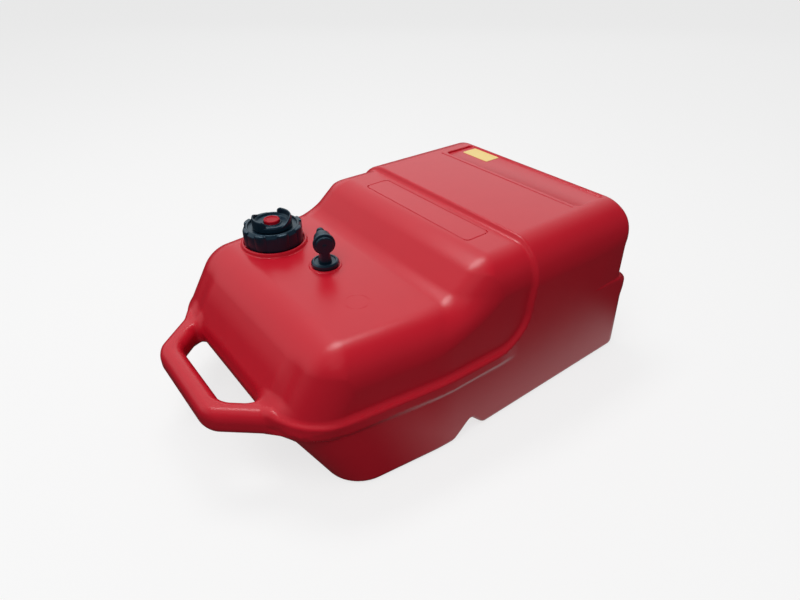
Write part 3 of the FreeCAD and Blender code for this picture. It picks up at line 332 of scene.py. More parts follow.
class TankForm:
    """Distance in mm to the tank's moulded form: below zero lies inside it."""

    REAR_LIP, NOSE_SETBACK = 3, 56  # ledge past the rear wall, and nose behind the handle's front
    BLOCK, BLOCK_LEAN = 185, 12  # high rear block, and how far its front leans
    TAPER_START, TAPER, TAPER_BEND = 324, 0.122, 15.8  # where and how the sides draw in to the front
    SIDE_LEAN, UPPER_INSET = 8.5, 5  # lean of a side, and the front body's setback from it
    LEDGE_FALL, LEDGE_DROP = 5, 9  # fall of the ledge to the step, and its drop between the arms
    ARM_EDGE, ARM_DEPTH = (84, 108), (16, 44)  # where the nose between the arms ends, aside and behind
    RIM_END = (247, 213)  # where the rim runs out in front of the rear wall
    RIM_FOOT, RIM_HEAD = 4.6, -2.0  # start and end of the rim's lower flank
    WAIST, WAIST_SLACK = 108.0, 0.5  # height over which the rear block is set in
    INSET_START, INSET = 55, 4.5 / 47  # where that starts, and its growth towards the rear wall
    FREE = 30  # far enough out to leave a face as it is
    REAR_HEIGHTS, REAR_PLACES, REAR_LEAN = (0, 78, 92, 102, 110), (0, 0, 3, 3, -8), 12
    REAR_ROUND, REAR_TOP_ROUND, REAR_CHANGE = 22, 8, (150, 195)  # rear edge's radius, low and high
    LOW_EDGE, NOSE_RUN, NOSE_ANGLE = 86, 46.5, math.radians(29)  # lower nose, which runs back to the floor
    CORNER, CORNER_FOOT, CORNER_FILLER = 54, 22, 12  # front corners: radius, loss at the floor, filler's gain
    CORNER_CHANGE = (40, 90)
    STEP_FOOT, STEP_ROUND, LEDGE_ROUND, NOSE_ROUND, WAIST_ROUND = 137, 45, 2.6, 6, 3
    FACE_LEAN, FACE_SETBACK, FACE_FORWARD = math.radians(33), 5, 4
    SLOPE, SLOPE_END, SLOPE_ROUND, CREST_ROUND = math.radians(41), 250, 30, 50
    UPPER_FLOOR, UPPER_OVERLAP = 82, 15  # how far the front body reaches into the lower one
    HANDLE_HEIGHT, HANDLE_HALF, HANDLE_ROOT = 85.2, 66, 24  # middle, half its front, reach into the nose
    ARM_TURN, HANDLE_CORNER, HANDLE_EDGE = math.radians(41), 34, 12
    WINDOW_CORNER, WINDOW_SIDE = 17, 10
    GROOVE_TOP, GROOVE_FRONT, GROOVE_BACK, GROOVE_ROUND, GROOVE_EDGE = 284, 27, 22, 5, 4
    UPPER_BLEND, HANDLE_BLEND, FLOOR_ROUND = 5, 12, 7
    STRIP, STRIP_MIDDLE, STRIP_HALF = 72, -4, 120.5  # recess along the rear edge

    def __init__(self, sizes):
        for name in sizes.__annotations__:
            setattr(self, name, getattr(sizes, name) / MM)
        self.rear = self.overall / 2 - self.REAR_LIP
        self.nose = self.NOSE_SETBACK - self.overall / 2
        self.step = self.rear - self.BLOCK

    def half_width(self, x, z):
        """Half the width at a height: leaning sides that taper towards the front."""
        before, bend = self.rear - self.TAPER_START - x, self.TAPER_BEND
        bent = (before + bend) ** 2 / (4 * bend)
        run = np.where(before < -bend, 0, np.where(before > bend, before, bent))
        return self.width / 2 - self.SIDE_LEAN * z / self.height - run * self.TAPER

    def ledge_at(self, x):
        """Height of the ledge, which falls from the nose to the step."""
        share = (x - self.nose) / (self.step - self.BLOCK_LEAN - self.nose)
        return self.ledge - self.LEDGE_FALL * np.clip(share, 0, 1)

    def between_arms(self, x, y):
        """1 on the nose between the handle's arms, where the front face runs straight down."""
        return (1 - ramp(np.abs(y), *self.ARM_EDGE)) * (1 - ramp(x - self.nose, *self.ARM_DEPTH))

    def rim_at(self, x, y, z):
        """How far the rim under the ledge stands out."""
        start, end = (self.rear - place for place in self.RIM_END)
        fade = (1 - ramp(x, start, end)) * (1 - self.between_arms(x, y))
        under = self.ledge_at(x) - z - self.rim
        return self.rim_proud * fade * ramp(under, self.RIM_FOOT, self.RIM_HEAD)

    def corner(self, y, z):
        """Radius of the upright front corners, rounder on the filler's side."""
        foot = self.CORNER_FOOT * np.clip(1 - z / self.LOW_EDGE, 0, 1)
        return self.CORNER - foot + self.CORNER_FILLER * ramp(y, *self.CORNER_CHANGE)

    def lower(self, x, y, z, rim):
        """Full-width body under the ledge and behind the step."""
        across = np.abs(y)
        side = across - self.half_width(x, z) - rim
        inset = (x - self.rear + self.INSET_START) * self.INSET - self.WAIST_SLACK
        inset = across - self.half_width(x, self.WAIST) + inset
        inset = inset - self.FREE * (1 - ramp(z, self.WAIST - 6, self.WAIST + 3))
        side = round_max(side, inset, self.WAIST_ROUND)
        run_back = self.nose + self.NOSE_RUN * (1 - z / self.LOW_EDGE) - x
        run_back = run_back * math.cos(self.NOSE_ANGLE)
        front = round_max(self.nose - x - rim, run_back - rim, self.NOSE_ROUND)
        heights, places = (*self.REAR_HEIGHTS, self.height), (*self.REAR_PLACES, -self.REAR_LEAN)
        body = round_max(side, z - self.height, self.shoulder)
        low = (self.REAR_ROUND - self.REAR_TOP_ROUND) * (1 - ramp(z, *self.REAR_CHANGE))
        rear = x - self.rear - np.interp(z, heights, places)
        body = round_max(body, rear, self.REAR_TOP_ROUND + low)
        body = round_max(body, front, self.corner(y, z))
        ledge = self.ledge_at(x) - self.LEDGE_DROP * self.between_arms(x, y)
        places = (self.step - self.BLOCK_LEAN, self.step)
        step = np.interp(z, (self.STEP_FOOT, self.height), places) - x
        return round_max(body, round_min(z - ledge, step, self.STEP_ROUND), self.LEDGE_ROUND)

    def upper(self, x, y, z):
        """Narrower front body: leaning face, deck, slope and plateau."""
        side = np.abs(y) - self.half_width(x, z) + self.UPPER_INSET
        foot = self.nose + self.FACE_SETBACK - self.FACE_FORWARD * self.between_arms(x, y)
        face = (foot + (z - self.ledge) * math.tan(self.FACE_LEAN) - x) * math.cos(self.FACE_LEAN)
        face = round_max(face, self.nose - x, self.NOSE_ROUND)
        slope = self.SLOPE
        foot = self.rear - self.SLOPE_END - (self.plateau - self.deck) / math.tan(slope)
        rise = (z - self.deck - (x - foot) * math.tan(slope)) * math.cos(slope)
        roof = round_max(rise, z - self.plateau, edge_round(self.CREST_ROUND, slope))
        roof = round_min(z - self.deck, roof, edge_round(self.SLOPE_ROUND, slope))
        body = round_max(face, roof, edge_round(self.CREST_ROUND, math.pi / 2 - self.FACE_LEAN))
        body = round_max(body, side, self.front_shoulder)
        return np.maximum(np.maximum(body, self.UPPER_FLOOR - z), x - self.step - self.UPPER_OVERLAP)

    def handle(self, x, y, z):
        """D-shaped carrying handle rooted in the nose."""
        across = np.abs(y)
        turn, bend = self.ARM_TURN, math.pi / 2 - self.ARM_TURN
        front = -self.overall / 2
        arm = (across - self.HANDLE_HALF - (x - front) * math.tan(turn)) * math.cos(turn)
        outside = round_max(front - x, arm, edge_round(self.HANDLE_CORNER, bend))
        window, aside = front + self.bar, self.bar * math.tan(turn)
        half = self.HANDLE_HALF - self.bar / math.cos(turn) + aside
        arm = (across - half - (x - window) * math.tan(turn)) * math.cos(turn)
        inside = round_max(window - x, arm, edge_round(self.WINDOW_CORNER, bend))
        inside = round_max(inside, across - half - aside, edge_round(self.WINDOW_SIDE, turn))
        plan = np.maximum(np.maximum(outside, -inside), x - self.nose - self.HANDLE_ROOT)
        return round_max(plan, np.abs(z - self.HANDLE_HEIGHT) - self.bar_thickness / 2, self.HANDLE_EDGE)

    def groove_at(self, x, z):
        """Wedge-shaped strap groove across the floor."""
        run, rise = x - self.rear + self.GROOVE_TOP, z - self.groove
        front, back = (math.atan(self.groove / run) for run in (self.GROOVE_FRONT, self.GROOVE_BACK))
        before = (rise - run * math.tan(front)) * math.cos(front)
        behind = (rise + run * math.tan(back)) * math.cos(back)
        return round_max(before, behind, self.GROOVE_ROUND)

    def outer(self, x, y, z, rim=True):
        """The whole form, with or without the rim."""
        body = self.lower(x, y, z, self.rim_at(x, y, z) if rim else 0)
        body = round_min(body, self.upper(x, y, z), self.UPPER_BLEND)
        body = round_min(body, self.handle(x, y, z), self.HANDLE_BLEND)
        body = round_max(body, -z, self.FLOOR_ROUND)
        return round_max(body, -self.groove_at(x, z), self.GROOVE_EDGE)

    def inner(self, x, y, z):
        """The hollow: the form without its rim, one wall in, and clear of the rear strip."""
        body = self.outer(x, y, z, rim=False) + self.wall
        strip = np.maximum(self.rear - self.STRIP - x, self.height - self.strip - z)
        strip = np.maximum(strip, np.abs(y - self.STRIP_MIDDLE) - self.STRIP_HALF)
        return np.maximum(body, self.wall - strip)


def surface_net(form, low, high, step):
    """Points and quads where a form crosses zero inside a box, in mm."""
    axes = [np.arange(low[axis], high[axis] + step, step, dtype=np.float32) for axis in range(3)]
    values = form(axes[0][:, None, None], axes[1][None, :, None], axes[2][None, None, :])
    cells = [len(axis) - 1 for axis in axes]
    total = np.zeros((cells[0] * cells[1] * cells[2], 3))
    count = np.zeros(len(total))
    quads = []
    for axis in range(3):
        first = np.take(values, range(values.shape[axis] - 1), axis)
        second = np.take(values, range(1, values.shape[axis]), axis)
        hit = np.argwhere((first < 0) != (second < 0))
        key = tuple(hit.T)
        start, end = first[key], second[key]
        point = hit.astype(float)
        point[:, axis] += start / (start - end)
        u, v = (axis + 1) % 3, (axis + 2) % 3
        ring = []
        for step_u, step_v in ((-1, -1), (0, -1), (0, 0), (-1, 0)):
            cell = hit.copy()
            cell[:, u] += step_u
            cell[:, v] += step_v
            index = (cell[:, 0] * cells[1] + cell[:, 1]) * cells[2] + cell[:, 2]
            ring.append(index)
            for part in range(3):
                total[:, part] += np.bincount(index, point[:, part], len(count))
            count += np.bincount(index, minlength=len(count))
        ring = np.stack(ring, 1)
        ring[start >= 0] = ring[start >= 0][:, ::-1]
        quads.append(ring)
    used = np.nonzero(count)[0]
    points = total[used] / count[used][:, None] * step + np.array(low)
    place = np.zeros(len(count), int)
    place[used] = np.arange(len(used))
    return points, place[np.concatenate(quads)]


def rise_of(form, points, reach=0.05):
    """Direction in which a form's distance grows, at each point."""
    rise = np.empty_like(points)
    for axis in range(3):
        move = np.zeros(3)
        move[axis] = reach
        rise[:, axis] = (form(*(points + move).T) - form(*(points - move).T)) / (2 * reach)
    return rise


def drawn_to(form, points, times):
    """Points moved onto a form's surface, and not past its flat floor and top."""
    for _ in range(times):
        rise = rise_of(form.outer, points)
        share = form.outer(*points.T) / np.maximum((rise**2).sum(1), 0.05)
        points = points - rise * np.clip(share, -1, 1)[:, None]
    points[:, 2] = np.clip(points[:, 2], 0, form.height)
    return points


def read(things, field, width=1, kind=float):
    """One field of a mesh's points, faces or face corners, as an array."""
    values = np.empty(len(things) * width, kind)
    things.foreach_get(field, values)
    return values.reshape(-1, width) if width > 1 else values


def shade_by(mesh, form):
    """Normals from the form itself on every face that lies on its surface."""
    rise = rise_of(form.outer, read(mesh.vertices, "co", 3) / MM)
    rise /= np.maximum(np.linalg.norm(rise, axis=1), 1e-9)[:, None]
    off = np.abs(form.outer(*(read(mesh.polygons, "center", 3) / MM).T))
    skin = np.repeat(off < 0.3, read(mesh.polygons, "loop_total", kind=int))
    vertex = read(mesh.loops, "vertex_index", kind=int)
    mesh.normals_split_custom_set(np.where(skin[:, None], rise[vertex], 0).tolist())


# ---------------------------------------------------------------- node trees


def add_node(tree, kind, inputs=None, **settings):
    """One node with its settings, and with values, sockets or other nodes on its inputs."""
    node = tree.nodes.new(kind)
    for name, value in settings.items():
        setattr(node, name, value)
    for key, value in (inputs or {}).items():
        if isinstance(value, bpy.types.Node):
            value = value.outputs[0]
        if isinstance(value, bpy.types.NodeSocket):
            tree.links.new(value, node.inputs[key])
        else:
            node.inputs[key].default_value = value
    return node


def maths(tree, operation, *values):
    """Math node over values or sockets."""
    return add_node(tree, "ShaderNodeMath", dict(enumerate(values)), operation=operation)


def emptied(owner):
    """The node tree of a material or world, without its nodes."""
    owner.use_nodes = True
    owner.node_tree.nodes.clear()
    return owner.node_tree


def new_group(kind, name, inputs, outputs):
    """Node group with sockets of (name, type, default), and the inputs as its nodes see them."""
    group = bpy.data.node_groups.new(name, kind)
    for title, sort, default in inputs:
        socket = group.interface.new_socket(title, in_out="INPUT", socket_type="NodeSocket" + sort)
        if default is not None:
            socket.default_value = default
    for title, sort in outputs:
        group.interface.new_socket(title, in_out="OUTPUT", socket_type="NodeSocket" + sort)
    return group, group.nodes.new("NodeGroupInput").outputs


def noise(tree, scale, detail):
    """Noise in the piece's own space, from 0 to 1."""
    place = add_node(tree, "ShaderNodeTexCoord").outputs["Object"]
    inputs = {"Vector": place, "Scale": scale, "Detail": detail}
    return add_node(tree, "ShaderNodeTexNoise", inputs).outputs["Fac"]


def grain_group():
    """Fine moulded grain over slow waves, as a height."""
    group, given = new_group("ShaderNodeTree", "moulded_grain", [
        ("Scale", "Float", 900.0), ("Grain", "Float", 1.0), ("Waves", "Float", 1.0),
    ], [("Height", "Float")])
    grain = maths(group, "MULTIPLY", noise(group, given["Scale"], 3.0), given["Grain"])
    waves = maths(group, "MULTIPLY", noise(group, 26.0, 1.5), given["Waves"])
    add_node(group, "NodeGroupOutput", {"Height": maths(group, "ADD", grain, waves)})
    return group


def mottle_group():
    """Uneven colour and gloss of a plain material."""
    group, given = new_group("ShaderNodeTree", "mottled_finish", [
        ("Color", "Color", (0.5, 0.5, 0.5, 1)), ("Amount", "Float", 0.1), ("Scale", "Float", 30.0),
        ("Roughness", "Float", 0.4), ("Gloss Spread", "Float", 0.05),
    ], [("Color", "Color"), ("Roughness", "Float")])
    shift = maths(group, "SUBTRACT", noise(group, given["Scale"], 1.0), 0.5)
    share = maths(group, "MULTIPLY_ADD", shift, given["Amount"], 1.0)
    tone = add_node(group, "ShaderNodeVectorMath", {0: given["Color"], "Scale": share}, operation="SCALE")
    shift = maths(group, "SUBTRACT", noise(group, 140.0, 1.0), 0.5)
    gloss = maths(group, "MULTIPLY_ADD", shift, given["Gloss Spread"], given["Roughness"])
    add_node(group, "NodeGroupOutput", {"Color": tone, "Roughness": gloss})
    return group


def new_tree(name, inputs):
    """Geometry tree that takes its finish as the last input."""
    inputs = [*inputs, ("Finish", "Material", None)]
    return new_group("GeometryNodeTree", name, inputs, [("Geometry", "Geometry")])


def end_tree(tree, given, last):
    """Realize instances and set the finish at a tree's end."""
    real = add_node(tree, "GeometryNodeRealizeInstances", {"Geometry": last})
    finished = add_node(tree, "GeometryNodeSetMaterial", {"Geometry": real, "Material": given["Finish"]})
    add_node(tree, "NodeGroupOutput", {"Geometry": finished})
    return tree


def circle(tree, resolution, radius):
    """Circle curve around the vertical axis."""
    return add_node(tree, "GeometryNodeCurvePrimitiveCircle", {"Resolution": resolution, "Radius": radius})


def swept(tree, curve, section):
    """Closed mesh of a section carried along a curve."""
    inputs = {"Curve": curve, "Profile Curve": section, "Fill Caps": True}
    return add_node(tree, "GeometryNodeCurveToMesh", inputs)


def upwards(tree, count, step):
    """Points in a row up the vertical axis."""
    offset = add_node(tree, "ShaderNodeCombineXYZ", {"Z": step})
    return add_node(tree, "GeometryNodeMeshLine", {"Count": count, "Offset": offset})


def copies(tree, points, part, **inputs):
    """Instances of a part on points."""
    return add_node(tree, "GeometryNodeInstanceOnPoints", {"Points": points, "Instance": part, **inputs})


def thread_tree():
    """Thread ridge or coil: a round section carried along a helix."""
    tree, given = new_tree("thread_ridge", [
        ("Radius", "Float", 0.03), ("Pitch", "Float", 0.006), ("Turns", "Float", 1.5),
        ("Ridge", "Float", 0.0012),
    ])
    helix = add_node(tree, "GeometryNodeCurveSpiral", {
        "Resolution": 64, "Rotations": given["Turns"], "Start Radius": given["Radius"],
        "End Radius": given["Radius"], "Height": maths(tree, "MULTIPLY", given["Pitch"], given["Turns"]),
    })
    return end_tree(tree, given, swept(tree, helix, circle(tree, 10, given["Ridge"])))


def around_tree():
    """Copies of a part spaced evenly around the vertical axis."""
    tree, given = new_tree("around_axis", [("Part", "Object", None), ("Count", "Int", 8)])
    part = add_node(tree, "GeometryNodeObjectInfo", {"Object": given["Part"]}).outputs["Geometry"]
    points = add_node(tree, "GeometryNodePoints", {"Count": given["Count"]})
    share = maths(tree, "DIVIDE", add_node(tree, "GeometryNodeInputIndex"), given["Count"])
    turn = add_node(tree, "ShaderNodeCombineXYZ", {"Z": maths(tree, "MULTIPLY", share, math.tau)})
    return end_tree(tree, given, copies(tree, points, part, Rotation=turn))


def along_tree():
    """Copies of a part in a row up the vertical axis."""
    tree, given = new_tree("along_axis", [
        ("Part", "Object", None), ("Count", "Int", 2), ("Step", "Float", 0.005),
    ])
    part = add_node(tree, "GeometryNodeObjectInfo", {"Object": given["Part"]}).outputs["Geometry"]
    return end_tree(tree, given, copies(tree, upwards(tree, given["Count"], given["Step"]), part))


def sleeve_tree():
    """Woven sleeve: upright wires around the axis and hoops up its height."""
    tree, given = new_tree("woven_sleeve", [
        ("Radius", "Float", 0.0072), ("Height", "Float", 0.018), ("Wires", "Int", 36), ("Hoops", "Int", 24),
        ("Wire", "Float", 0.0002),
    ])
    section = circle(tree, 5, given["Wire"])
    top = add_node(tree, "ShaderNodeCombineXYZ", {"Z": given["Height"]})
    wire = swept(tree, add_node(tree, "GeometryNodeCurvePrimitiveLine", {"End": top}), section)
    outer = maths(tree, "ADD", given["Radius"], given["Wire"])
    inner = maths(tree, "SUBTRACT", given["Radius"], given["Wire"])
    wires = copies(tree, circle(tree, given["Wires"], outer), wire)
    gap = maths(tree, "DIVIDE", given["Height"], maths(tree, "SUBTRACT", given["Hoops"], 1.0))
    hoop = swept(tree, circle(tree, 48, inner), section)
    both = add_node(tree, "GeometryNodeJoinGeometry", {"Geometry": wires})
    tree.links.new(copies(tree, upwards(tree, given["Hoops"], gap), hoop).outputs[0], both.inputs[0])
    return end_tree(tree, given, both)


TREES = {
    "moulded_grain": grain_group, "mottled_finish": mottle_group, "thread_ridge": thread_tree,
    "around_axis": around_tree, "along_axis": along_tree, "woven_sleeve": sleeve_tree,
}


def shared(name):
    """A node group by its name, made when it is first needed."""
    return bpy.data.node_groups.get(name) or TREES[name]()


def made_by(name, tree, slot, **values):
    """Mesh piece from a geometry node tree, its finish and its named inputs."""
    piece = new_piece(name, bpy.data.meshes.new(name))
    modifier = piece.modifiers.new(name, "NODES")
    modifier.node_group = shared(tree)
    values["Finish"] = bpy.data.materials[slot]
    for item in modifier.node_group.interface.items_tree:
        if item.in_out == "INPUT" and item.name in values:
            modifier[item.identifier] = values[item.name]
    settle(piece)
    shade(piece.data)
    return piece


def repeated(part, tree, slot, **values):
    """Copies of a part from a tree, in place of the part itself."""
    piece = made_by(part.name + "s", tree, slot, Part=part, **values)
    drop(part)
    return piece


def thread(name, slot, pitch, radius, turns, ridge, height):
    """Thread ridge from a height on, with its sizes in mm."""
    sizes = {"Radius": radius * MM, "Pitch": pitch, "Turns": turns, "Ridge": ridge * MM}
    piece = made_by(name, "thread_ridge", slot, **sizes)
    return carried(piece, Matrix.Translation((0, 0, height * MM)))


def finish(slot, tint, roughness, metallic=0.0, mottle=0.12, spread=0.1, grain=500.0, depth=0.006, waves=0.0,
           ior=1.5, specular=0.5, tinge=WHITE):
    """Material with mottled colour, uneven gloss and grain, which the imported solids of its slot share."""
    material = bpy.data.materials.get(slot) or bpy.data.materials.new(slot)
    material.diffuse_color = (*tint, 1)
    tree = emptied(material)
    mottled = add_node(tree, "ShaderNodeGroup", {
        "Color": (*tint, 1), "Amount": mottle, "Roughness": roughness, "Gloss Spread": spread,
    }, node_tree=shared("mottled_finish")).outputs
    surface = add_node(tree, "ShaderNodeGroup", {
        "Scale": grain, "Grain": depth, "Waves": waves,
    }, node_tree=shared("moulded_grain"))
    shader = add_node(tree, "ShaderNodeBsdfPrincipled", {
        "Base Color": mottled["Color"], "Roughness": mottled["Roughness"], "Metallic": metallic, "IOR": ior,
        "Specular IOR Level": specular, "Specular Tint": tinge,
        "Normal": add_node(tree, "ShaderNodeBump", {"Height": surface, "Distance": MM, "Strength": 1.0}),
    })
    add_node(tree, "ShaderNodeOutputMaterial", {"Surface": shader})


# ---------------------------------------------------------------- operators


class FinishesOperator(bpy.types.Operator):
    """Make the finish of every slot, for new pieces and for the solids that are shown as packed"""

    bl_idname = "fuel_tank.finishes"
    bl_label = "Finishes"

    def execute(self, context):
        tints = context.scene.tank_colours
        black = {"mottle": 0.2, "depth": 0.005, "tinge": (0.52, 0.82, 1, 1)}
        metal = {"metallic": 1.0, "ior": 2.5}
        finish("tank_red", tints.shell, 0.30, mottle=0.06, spread=0.04, grain=260, depth=0.003, waves=0.12)
        finish("cap_black", tints.cap, 0.34, specular=0.7, **black)
        finish("fitting_black", tints.fitting, 0.36, specular=0.9, **black)
        finish("button_red", tints.button, 0.38, mottle=0.1, depth=0.004, specular=0.15)
        finish("label_yellow", tints.label, 0.42, mottle=0.08, depth=0.004)
        finish("seal_rubber", (0.018, 0.018, 0.019), 0.62, mottle=0.35, grain=1600, depth=0.03)
        finish("spring_steel", (0.56, 0.55, 0.53), 0.24, mottle=0.14, grain=2600, depth=0.01, **metal)
        finish("mesh_steel", (0.50, 0.50, 0.49), 0.34, mottle=0.2, grain=3000, depth=0.02, **metal)
        finish("insert_brass", (0.66, 0.43, 0.16), 0.30, mottle=0.2, grain=1800, depth=0.015, **metal)
        finish("leash_plastic", (0.020, 0.021, 0.023), 0.48, mottle=0.25, grain=1000, depth=0.03)
        finish("inner_plastic", (0.60, 0.59, 0.55), 0.44, grain=900, depth=0.025)
        return {"FINISHED"}


class ShellOperator(bpy.types.Operator):
    """Build the hollow red moulding with its handle, rim, groove, strip and panel lines"""

    bl_idname = "fuel_tank.shell"
    bl_label = "Shell"

    HOLLOW_STEP, FACES_KEPT = 6.0, 0.55  # mesh cells of the hollow in mm, and share of the outside's faces

    def execute(self, context):
        form = TankForm(context.scene.tank_shell_sizes)
        margin = 6
        side_x, side_y = form.overall / 2 + margin, form.width / 2 + margin
        box = (-side_x, -side_y, -margin), (side_x, side_y, form.height + margin)
        points, quads = surface_net(form.outer, *box, form.mesh_step * (1))
        shell = piece_from("tank_body", drawn_to(form, points, 4) * MM, quads.tolist(), turn_out=False)
        shell.modifiers.new("fewer", "DECIMATE").ratio = self.FACES_KEPT
        settle(shell)
        points = drawn_to(form, read(shell.data.vertices, "co", 3) / MM, 2)
        shell.data.vertices.foreach_set("co", (points * MM).ravel())
        shell.data.update()
        points, quads = surface_net(form.inner, *box, self.HOLLOW_STEP)
        self.cut(shell, piece_from("hollow", points * MM, quads.tolist(), turn_out=False))
        self.cut(shell, joined("cutters", self.cutters(form)))
        shade(shell.data, 30)
        shade_by(shell.data, form)
        dress(shell, "tank", "tank_red", "tank_shell")
        return {"FINISHED"}

    @staticmethod
    def cut(shell, tool):
        """Take a tool's shape out of the moulding."""
        cutting = shell.modifiers.new("cut", "BOOLEAN")
        cutting.operation = "DIFFERENCE"
        cutting.solver = "MANIFOLD"
        cutting.object = tool
        before = len(shell.data.vertices)
        settle(shell)
        if len(shell.data.vertices) == before:
            raise RuntimeError("A tool left the moulding as it was")
        drop(tool)

    @staticmethod
    def cutters(form):
        """Tools for the filler bore, the insert's seat, the rear strip, the panel lines and the deck ring."""
        tools = []
        for name, radius, top, segments, place in (
            ("bore", NECK_BORE, 9, 72, FILLER), ("seat", SEAT_BORE, 5, 48, PICKUP),
        ):
            outline = [(0, -22, 0), (radius, -22, 0), (radius, top, 0), (0, top, 0)]
            tools.append(turned(name, outline, segments, place))
        top, base = form.height, form.height - form.strip
        left, right = (form.STRIP_MIDDLE + side * form.STRIP_HALF for side in (-1, 1))
        tools.append(stacked("strip", [
            box_ring(form.rear - form.STRIP, form.rear - 19 - lean, left, right, 7, grow, height)
            for grow, height, lean in (
                (-0.9, base, 2.4), (-0.2, base + 0.3, 1.7), (0, base + 0.9, 1.2), (0, top - 0.8, 0.4),
                (0.8, top + 0.02, 0), (1.1, top + 3, 0),
            )
        ]))
        line = form.rear - 78.5
        tools.append(stacked("panel_line", [
            box_ring(line - half, line + half, left + 2.5, right + 2.5, half * 0.9, 0, top + height)
            for half, height in ((0.5, -1.3), (0.9, -1.1), (1.5, 0.4))
        ]))
        tools.append(stacked("plateau_line", [
            box_ring(form.rear - 231.3, form.step - 11, -97.5, 97.5, 6, grow, form.plateau + height)
            for grow, height in ((-1.1, 0.3), (-0.6, -1.1), (0.6, -1.1), (1.1, 0.3))
        ], closed=True))
        ring = [(12, 0.3, 0), (12.6, -0.5, 0), (13.4, -0.5, 0), (14, 0.3, 0)]
        tools.append(turned("mark", ring, 72, DECK_MARK))
        return tools


class NeckOperator(bpy.types.Operator):
    """Build the threaded filler neck and the moulded rings around the cap and the pickup"""

    bl_idname = "fuel_tank.neck"
    bl_label = "Neck and rings"

    def execute(self, context):
        sizes = context.scene.tank_cap_sizes
        neck = joined("filler_neck", [
            turned("neck_wall", [
                (NECK_BORE, -4, 0), (NECK_EDGE, -4, 0), (NECK_EDGE, 16, 0.8), (NECK_BORE, 16, 0.8),
            ]),
            thread("neck_ridge", "tank_red", sizes.pitch, radius=30.3, turns=1.5, ridge=1.25, height=5),
        ])
        edge, inside = sizes.collar / MM, NECK_EDGE - 0.1
        collar = turned("filler_collar", [
            (inside, -5, 0), (inside, 0.9, 0.4), (edge - 4.4, 0.9, 0.6), (edge - 3.9, 4.5, 1.6),
            (edge - 1.0, 4.5, 2.4), (edge + 0.1, 0.4, 1.4), (edge + 2.8, -0.5, 0), (edge + 2.8, -5, 0),
        ], 128, FILLER)
        ring = turned("pickup_collar", [
            (13.6, -4, 0), (13.6, -0.6, 0.4), (16.4, -0.6, 0.3), (16.6, 1.2, 0.6), (18.6, 1.2, 0.8),
            (19.3, 0.1, 0.7), (20.8, -0.4, 0), (20.8, -4, 0),
        ], place=PICKUP)
        for piece in (carried(neck, Matrix.Translation(FILLER)), collar, ring):
            dress(piece, "tank", "tank_red")
        return {"FINISHED"}


class CapOperator(bpy.types.Operator):
    """Build the screw cap with its bevelled rim, dish, boss, inside thread and grip lobes"""

    bl_idname = "fuel_tank.cap"
    bl_label = "Filler cap"

    def execute(self, context):
        sizes = context.scene.tank_cap_sizes
        wall, recess = sizes.radius / MM, sizes.recess / MM
        hub, boss, inside = 11.55, 16, 32.1
        blank = turned("cap_blank", [
            (hub, 22, 0.2), (recess, 22, 0.8), (recess + 0.6, 25.1, 0.5), (wall - 3.6, 25.1, 0.7),
            (wall - 2.8, 24.3, 0.4), (wall, 21.2, 1.2), (wall, 4.6, 0.5), (wall - 0.7, 4.1, 0.4),
            (wall - 0.7, 2.1, 0.5), (inside, 2.1, 0.4), (inside, 18, 0.5), (boss, 18, 0.4), (boss, 14.3, 0.2),
            (14.4, 14.3, 0), (14.4, 12, 0), (boss, 12, 0.2), (boss, 10, 0.4), (hub, 10, 0.2),
        ], 160)
        lobe = stacked("lobe", [self.pad(wall, sizes.lobe / MM, grow, height) for grow, height in (
            (-0.9, 4.9), (-0.25, 5.2), (0, 6.0), (0, 22.2), (-0.25, 23.4), (-0.8, 24.2), (-1.8, 24.7),
        )])
        lobes = repeated(lobe, "around_axis", "cap_black", Count=sizes.lobes)
        carried(lobes, Matrix.Rotation(PAD_TURN, 4, "Z"))
        ridge = thread("cap_ridge", "cap_black", sizes.pitch, radius=31.3, turns=1.0, ridge=1.15, height=8)
        cap = carried(joined("screw_cap", [blank, lobes, ridge]), Matrix.Translation(FILLER))
        dress(cap, "cap", "cap_black", "filler_cap")
        return {"FINISHED"}

    @staticmethod
    def pad(wall, reach, grow, height):
        """One level of a grip lobe: a broad pad that runs out softly into the wall."""
        spread = math.radians(12.5) + grow / wall
        points = []
        for step in range(17):
            share = step / 8 - 1
            radius = wall + (reach + min(grow, 0) * 0.9) * (1 - abs(share) ** 2.6) - 0.2
            points.append(polar(radius, spread * share, height))
        return points + [polar(wall - 4, spread * (1 - step / 4), height) for step in range(9)]


